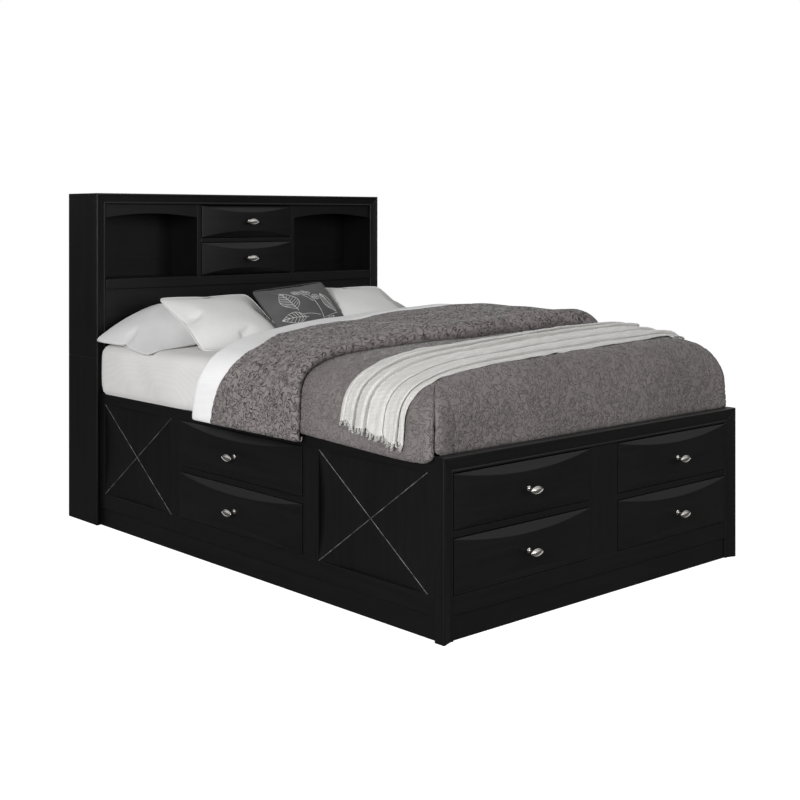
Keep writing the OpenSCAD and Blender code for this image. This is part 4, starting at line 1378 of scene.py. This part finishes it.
def embroidery():
    """Raised line stitching on the accent cushion: three outlined leaves, a curved stem and seed heads."""
    me = ACC.data
    bvh = BVHTree.FromPolygons([v.co[:] for v in me.vertices], [p.vertices[:] for p in me.polygons])
    nx, ny = int(AW / 0.014), int(AH / 0.014)
    g = lambda i, j: Vector(ACC_P[i * (ny + 1) + j]) - Vector((0, YM, 0))
    c00, c10, c01, c11 = g(0, 0), g(nx, 0), g(0, ny), g(nx, ny)
    nrm = (c10 - c00).cross(c01 - c00).normalized()

    def on(u, v):
        p = (c00 * (1 - u) + c10 * u) * (1 - v) + (c01 * (1 - u) + c11 * u) * v
        hit = bvh.ray_cast(p + nrm * 0.25, -nrm)
        return (hit[0], hit[1]) if hit[0] is not None else None
    lines = []

    def leaf(x, y, ang, length, width, veins):
        ca, sa = math.cos(ang), math.sin(ang)
        tr = lambda s, t: (x + ca * s - sa * t, y + sa * s + ca * t)
        prof = lambda q: width * math.sin(math.pi * q ** 0.85) ** 0.9
        for sgn in (1, -1):
            lines.append([tr(length * q, sgn * prof(q)) for q in np.linspace(0, 1, 30)])
        lines.append([tr(length * q, 0.0) for q in np.linspace(-0.12, 1, 20)])
        for k in range(veins):
            q = 0.12 + 0.74 * k / max(veins - 1, 1)
            for sgn in (1, -1):
                q2 = min(q + 0.16, 0.97)
                lines.append([tr(length * (q + (q2 - q) * t), sgn * prof(q2) * 0.93 * t) for t in np.linspace(0, 1, 8)])

    def seeds(x, y, r):
        lines.append([(x + r * math.cos(t), y + r * math.sin(t)) for t in np.linspace(0, 2 * math.pi, 26)])
        for k in range(7):
            a = 2 * math.pi * k / 7 + 0.3
            lines.append([(x + r * 0.15 * math.cos(a), y + r * 0.15 * math.sin(a)), (x + r * 0.8 * math.cos(a), y + r * 0.8 * math.sin(a))])
    leaf(0.30, 0.50, math.radians(98), 0.33, 0.115, 8)
    leaf(0.34, 0.34, math.radians(168), 0.26, 0.085, 6)
    leaf(0.60, 0.17, math.radians(48), 0.20, 0.060, 5)
    leaf(0.81, 0.40, math.radians(100), 0.32, 0.085, 7)
    lines.append([(0.50 + 0.10 * math.sin(2.2 * t), 0.08 + 0.62 * t) for t in np.linspace(0, 1, 30)])
    lines.append([(0.55 - 0.22 * t, 0.34 + 0.10 * t - 0.05 * t * t) for t in np.linspace(0, 1, 12)])
    lines.append([(0.59 + 0.22 * t, 0.30 + 0.07 * t) for t in np.linspace(0, 1, 12)])
    lines.append([(0.57 - 0.06 * t, 0.58 + 0.16 * t) for t in np.linspace(0, 1, 8)])
    seeds(0.585, 0.78, 0.060)
    seeds(0.475, 0.80, 0.052)
    seeds(0.655, 0.66, 0.048)
    bm = bmesh.new()
    for ln in lines:
        prev = None
        pts = [on(u, v) for u, v in ln if 0.03 < u < 0.97 and 0.03 < v < 0.97]
        pts = [q for q in pts if q is not None]
        for i, (p, n) in enumerate(pts):
            a, b = pts[max(i - 1, 0)][0], pts[min(i + 1, len(pts) - 1)][0]
            d = (b - a)
            if d.length < 1e-6:
                continue
            d.normalize()
            if n.dot(nrm) < 0:
                n = -n
            s = d.cross(n).normalized()
            w, h = 0.00125, 0.0011
            ring = [bm.verts.new(p + s * x * w + n * y * h) for x, y in ((-1, -0.5), (-0.7, 0.7), (0, 1.1), (0.7, 0.7), (1, -0.5))]
            if prev:
                for k in range(5):
                    bm.faces.new((prev[k], prev[(k + 1) % 5], ring[(k + 1) % 5], ring[k]))
            else:
                bm.faces.new(ring[::-1])
            prev = ring
        if prev:
            bm.faces.new(prev)
    ob = new_object("accent_embroidery", bm, 80)
    ob.data.materials.append(THREAD)
    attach(ob, BED)


embroidery()


# ------------------------------------------------------------------ room
def room():
    me = bpy.data.meshes.new("floor")
    s = 60
    me.from_pydata([(-s, -s, 0), (s, -s, 0), (s, s, 0), (-s, s, 0)], [], [(0, 1, 2, 3)])
    fl = bpy.data.objects.new("floor", me)
    COL.objects.link(fl)
    m = bpy.data.materials.new("pale_floor")
    m.use_nodes = True
    t = m.node_tree
    t.nodes.clear()
    out = t.nodes.new("ShaderNodeOutputMaterial")
    em = t.nodes.new("ShaderNodeEmission")
    em.inputs[0].default_value = (1, 1, 1, 1)
    em.inputs[1].default_value = 0.94
    df = t.nodes.new("ShaderNodeBsdfDiffuse")
    df.inputs[0].default_value = (0.46, 0.46, 0.46, 1)
    add = t.nodes.new("ShaderNodeAddShader")
    t.links.new(em.outputs[0], add.inputs[0])
    t.links.new(df.outputs[0], add.inputs[1])
    dim = t.nodes.new("ShaderNodeBsdfDiffuse")
    dim.inputs[0].default_value = (0.34, 0.33, 0.32, 1)
    dif = t.nodes.new("ShaderNodeBsdfDiffuse")
    dif.inputs[0].default_value = (0.5, 0.5, 0.5, 1)
    lp = t.nodes.new("ShaderNodeLightPath")
    mx = t.nodes.new("ShaderNodeMixShader")
    mx2 = t.nodes.new("ShaderNodeMixShader")
    t.links.new(lp.outputs["Is Glossy Ray"], mx.inputs[0])
    t.links.new(dif.outputs[0], mx.inputs[1])
    t.links.new(dim.outputs[0], mx.inputs[2])
    t.links.new(lp.outputs["Is Camera Ray"], mx2.inputs[0])
    t.links.new(mx.outputs[0], mx2.inputs[1])
    t.links.new(add.outputs[0], mx2.inputs[2])
    t.links.new(mx2.outputs[0], out.inputs[0])
    me.materials.append(m)

    w = bpy.data.worlds.new("studio")
    bpy.context.scene.world = w
    w.use_nodes = True
    t = w.node_tree
    t.nodes.clear()
    out = t.nodes.new("ShaderNodeOutputWorld")
    bg = t.nodes.new("ShaderNodeBackground")
    tc = t.nodes.new("ShaderNodeTexCoord")
    sep = t.nodes.new("ShaderNodeSeparateXYZ")
    t.links.new(tc.outputs["Generated"], sep.inputs[0])
    mr = t.nodes.new("ShaderNodeMapRange")
    mr.interpolation_type = "SMOOTHSTEP"
    mr.inputs["From Min"].default_value = 0.0
    mr.inputs["From Max"].default_value = 0.75
    mr.inputs["To Min"].default_value = 0.42
    mr.inputs["To Max"].default_value = 0.12
    t.links.new(sep.outputs[2], mr.inputs["Value"])
    lp = t.nodes.new("ShaderNodeLightPath")
    mix = t.nodes.new("ShaderNodeMix")
    mix.data_type = "FLOAT"
    t.links.new(lp.outputs["Is Camera Ray"], mix.inputs[0])
    mix.inputs[3].default_value = 1.0
    mr2 = t.nodes.new("ShaderNodeMapRange")
    mr2.interpolation_type = "SMOOTHSTEP"
    mr2.inputs["From Min"].default_value = 0.10
    mr2.inputs["From Max"].default_value = 0.62
    mr2.inputs["To Min"].default_value = 0.14
    mr2.inputs["To Max"].default_value = 1.25
    t.links.new(sep.outputs[2], mr2.inputs["Value"])
    mixg = t.nodes.new("ShaderNodeMix")
    mixg.data_type = "FLOAT"
    t.links.new(lp.outputs["Is Glossy Ray"], mixg.inputs[0])
    t.links.new(mr.outputs[0], mixg.inputs[2])
    t.links.new(mr2.outputs[0], mixg.inputs[3])
    t.links.new(mixg.outputs[0], mix.inputs[2])
    t.links.new(mix.outputs[0], bg.inputs[1])
    bg.inputs[0].default_value = (1, 1, 1, 1)
    t.links.new(bg.outputs[0], out.inputs[0])

    def area(name, loc, aim, size, power, size_y=None):
        l = bpy.data.lights.new(name, "AREA")
        l.shape = "RECTANGLE"
        l.size, l.size_y = size, size_y or size
        l.energy = power
        o = bpy.data.objects.new(name, l)
        COL.objects.link(o)
        o.location = loc
        o.rotation_euler = (Vector(aim) - Vector(loc)).to_track_quat("-Z", "Y").to_euler()
    area("key", (-6.2, -3.4, 2.3), (0, 0, 0.6), 1.8, 385)
    area("fill", (1.2, -6.0, 2.0), (0, 0, 0.6), 2.4, 68)
    area("top", (-0.6, -0.9, 4.6), (0, 0, 0.5), 2.4, 16)


room()

cam = bpy.data.cameras.new("camera")
cam.sensor_width = 36
cam.lens = 1298.38 / 800 * 36
cam.shift_x = (400 - 371.32) / 800
cam.shift_y = -(400 - 216.88) / 800
cam.clip_end = 200
co = bpy.data.objects.new("camera", cam)
COL.objects.link(co)
co.location = (-3.7294, -2.9244 - YM, 1.3617)
co.rotation_euler = (math.radians(90), 0, -math.radians(41.61))
bpy.context.scene.camera = co
bpy.context.scene.view_settings.view_transform = "Standard"
bpy.context.scene.view_settings.look = "None"
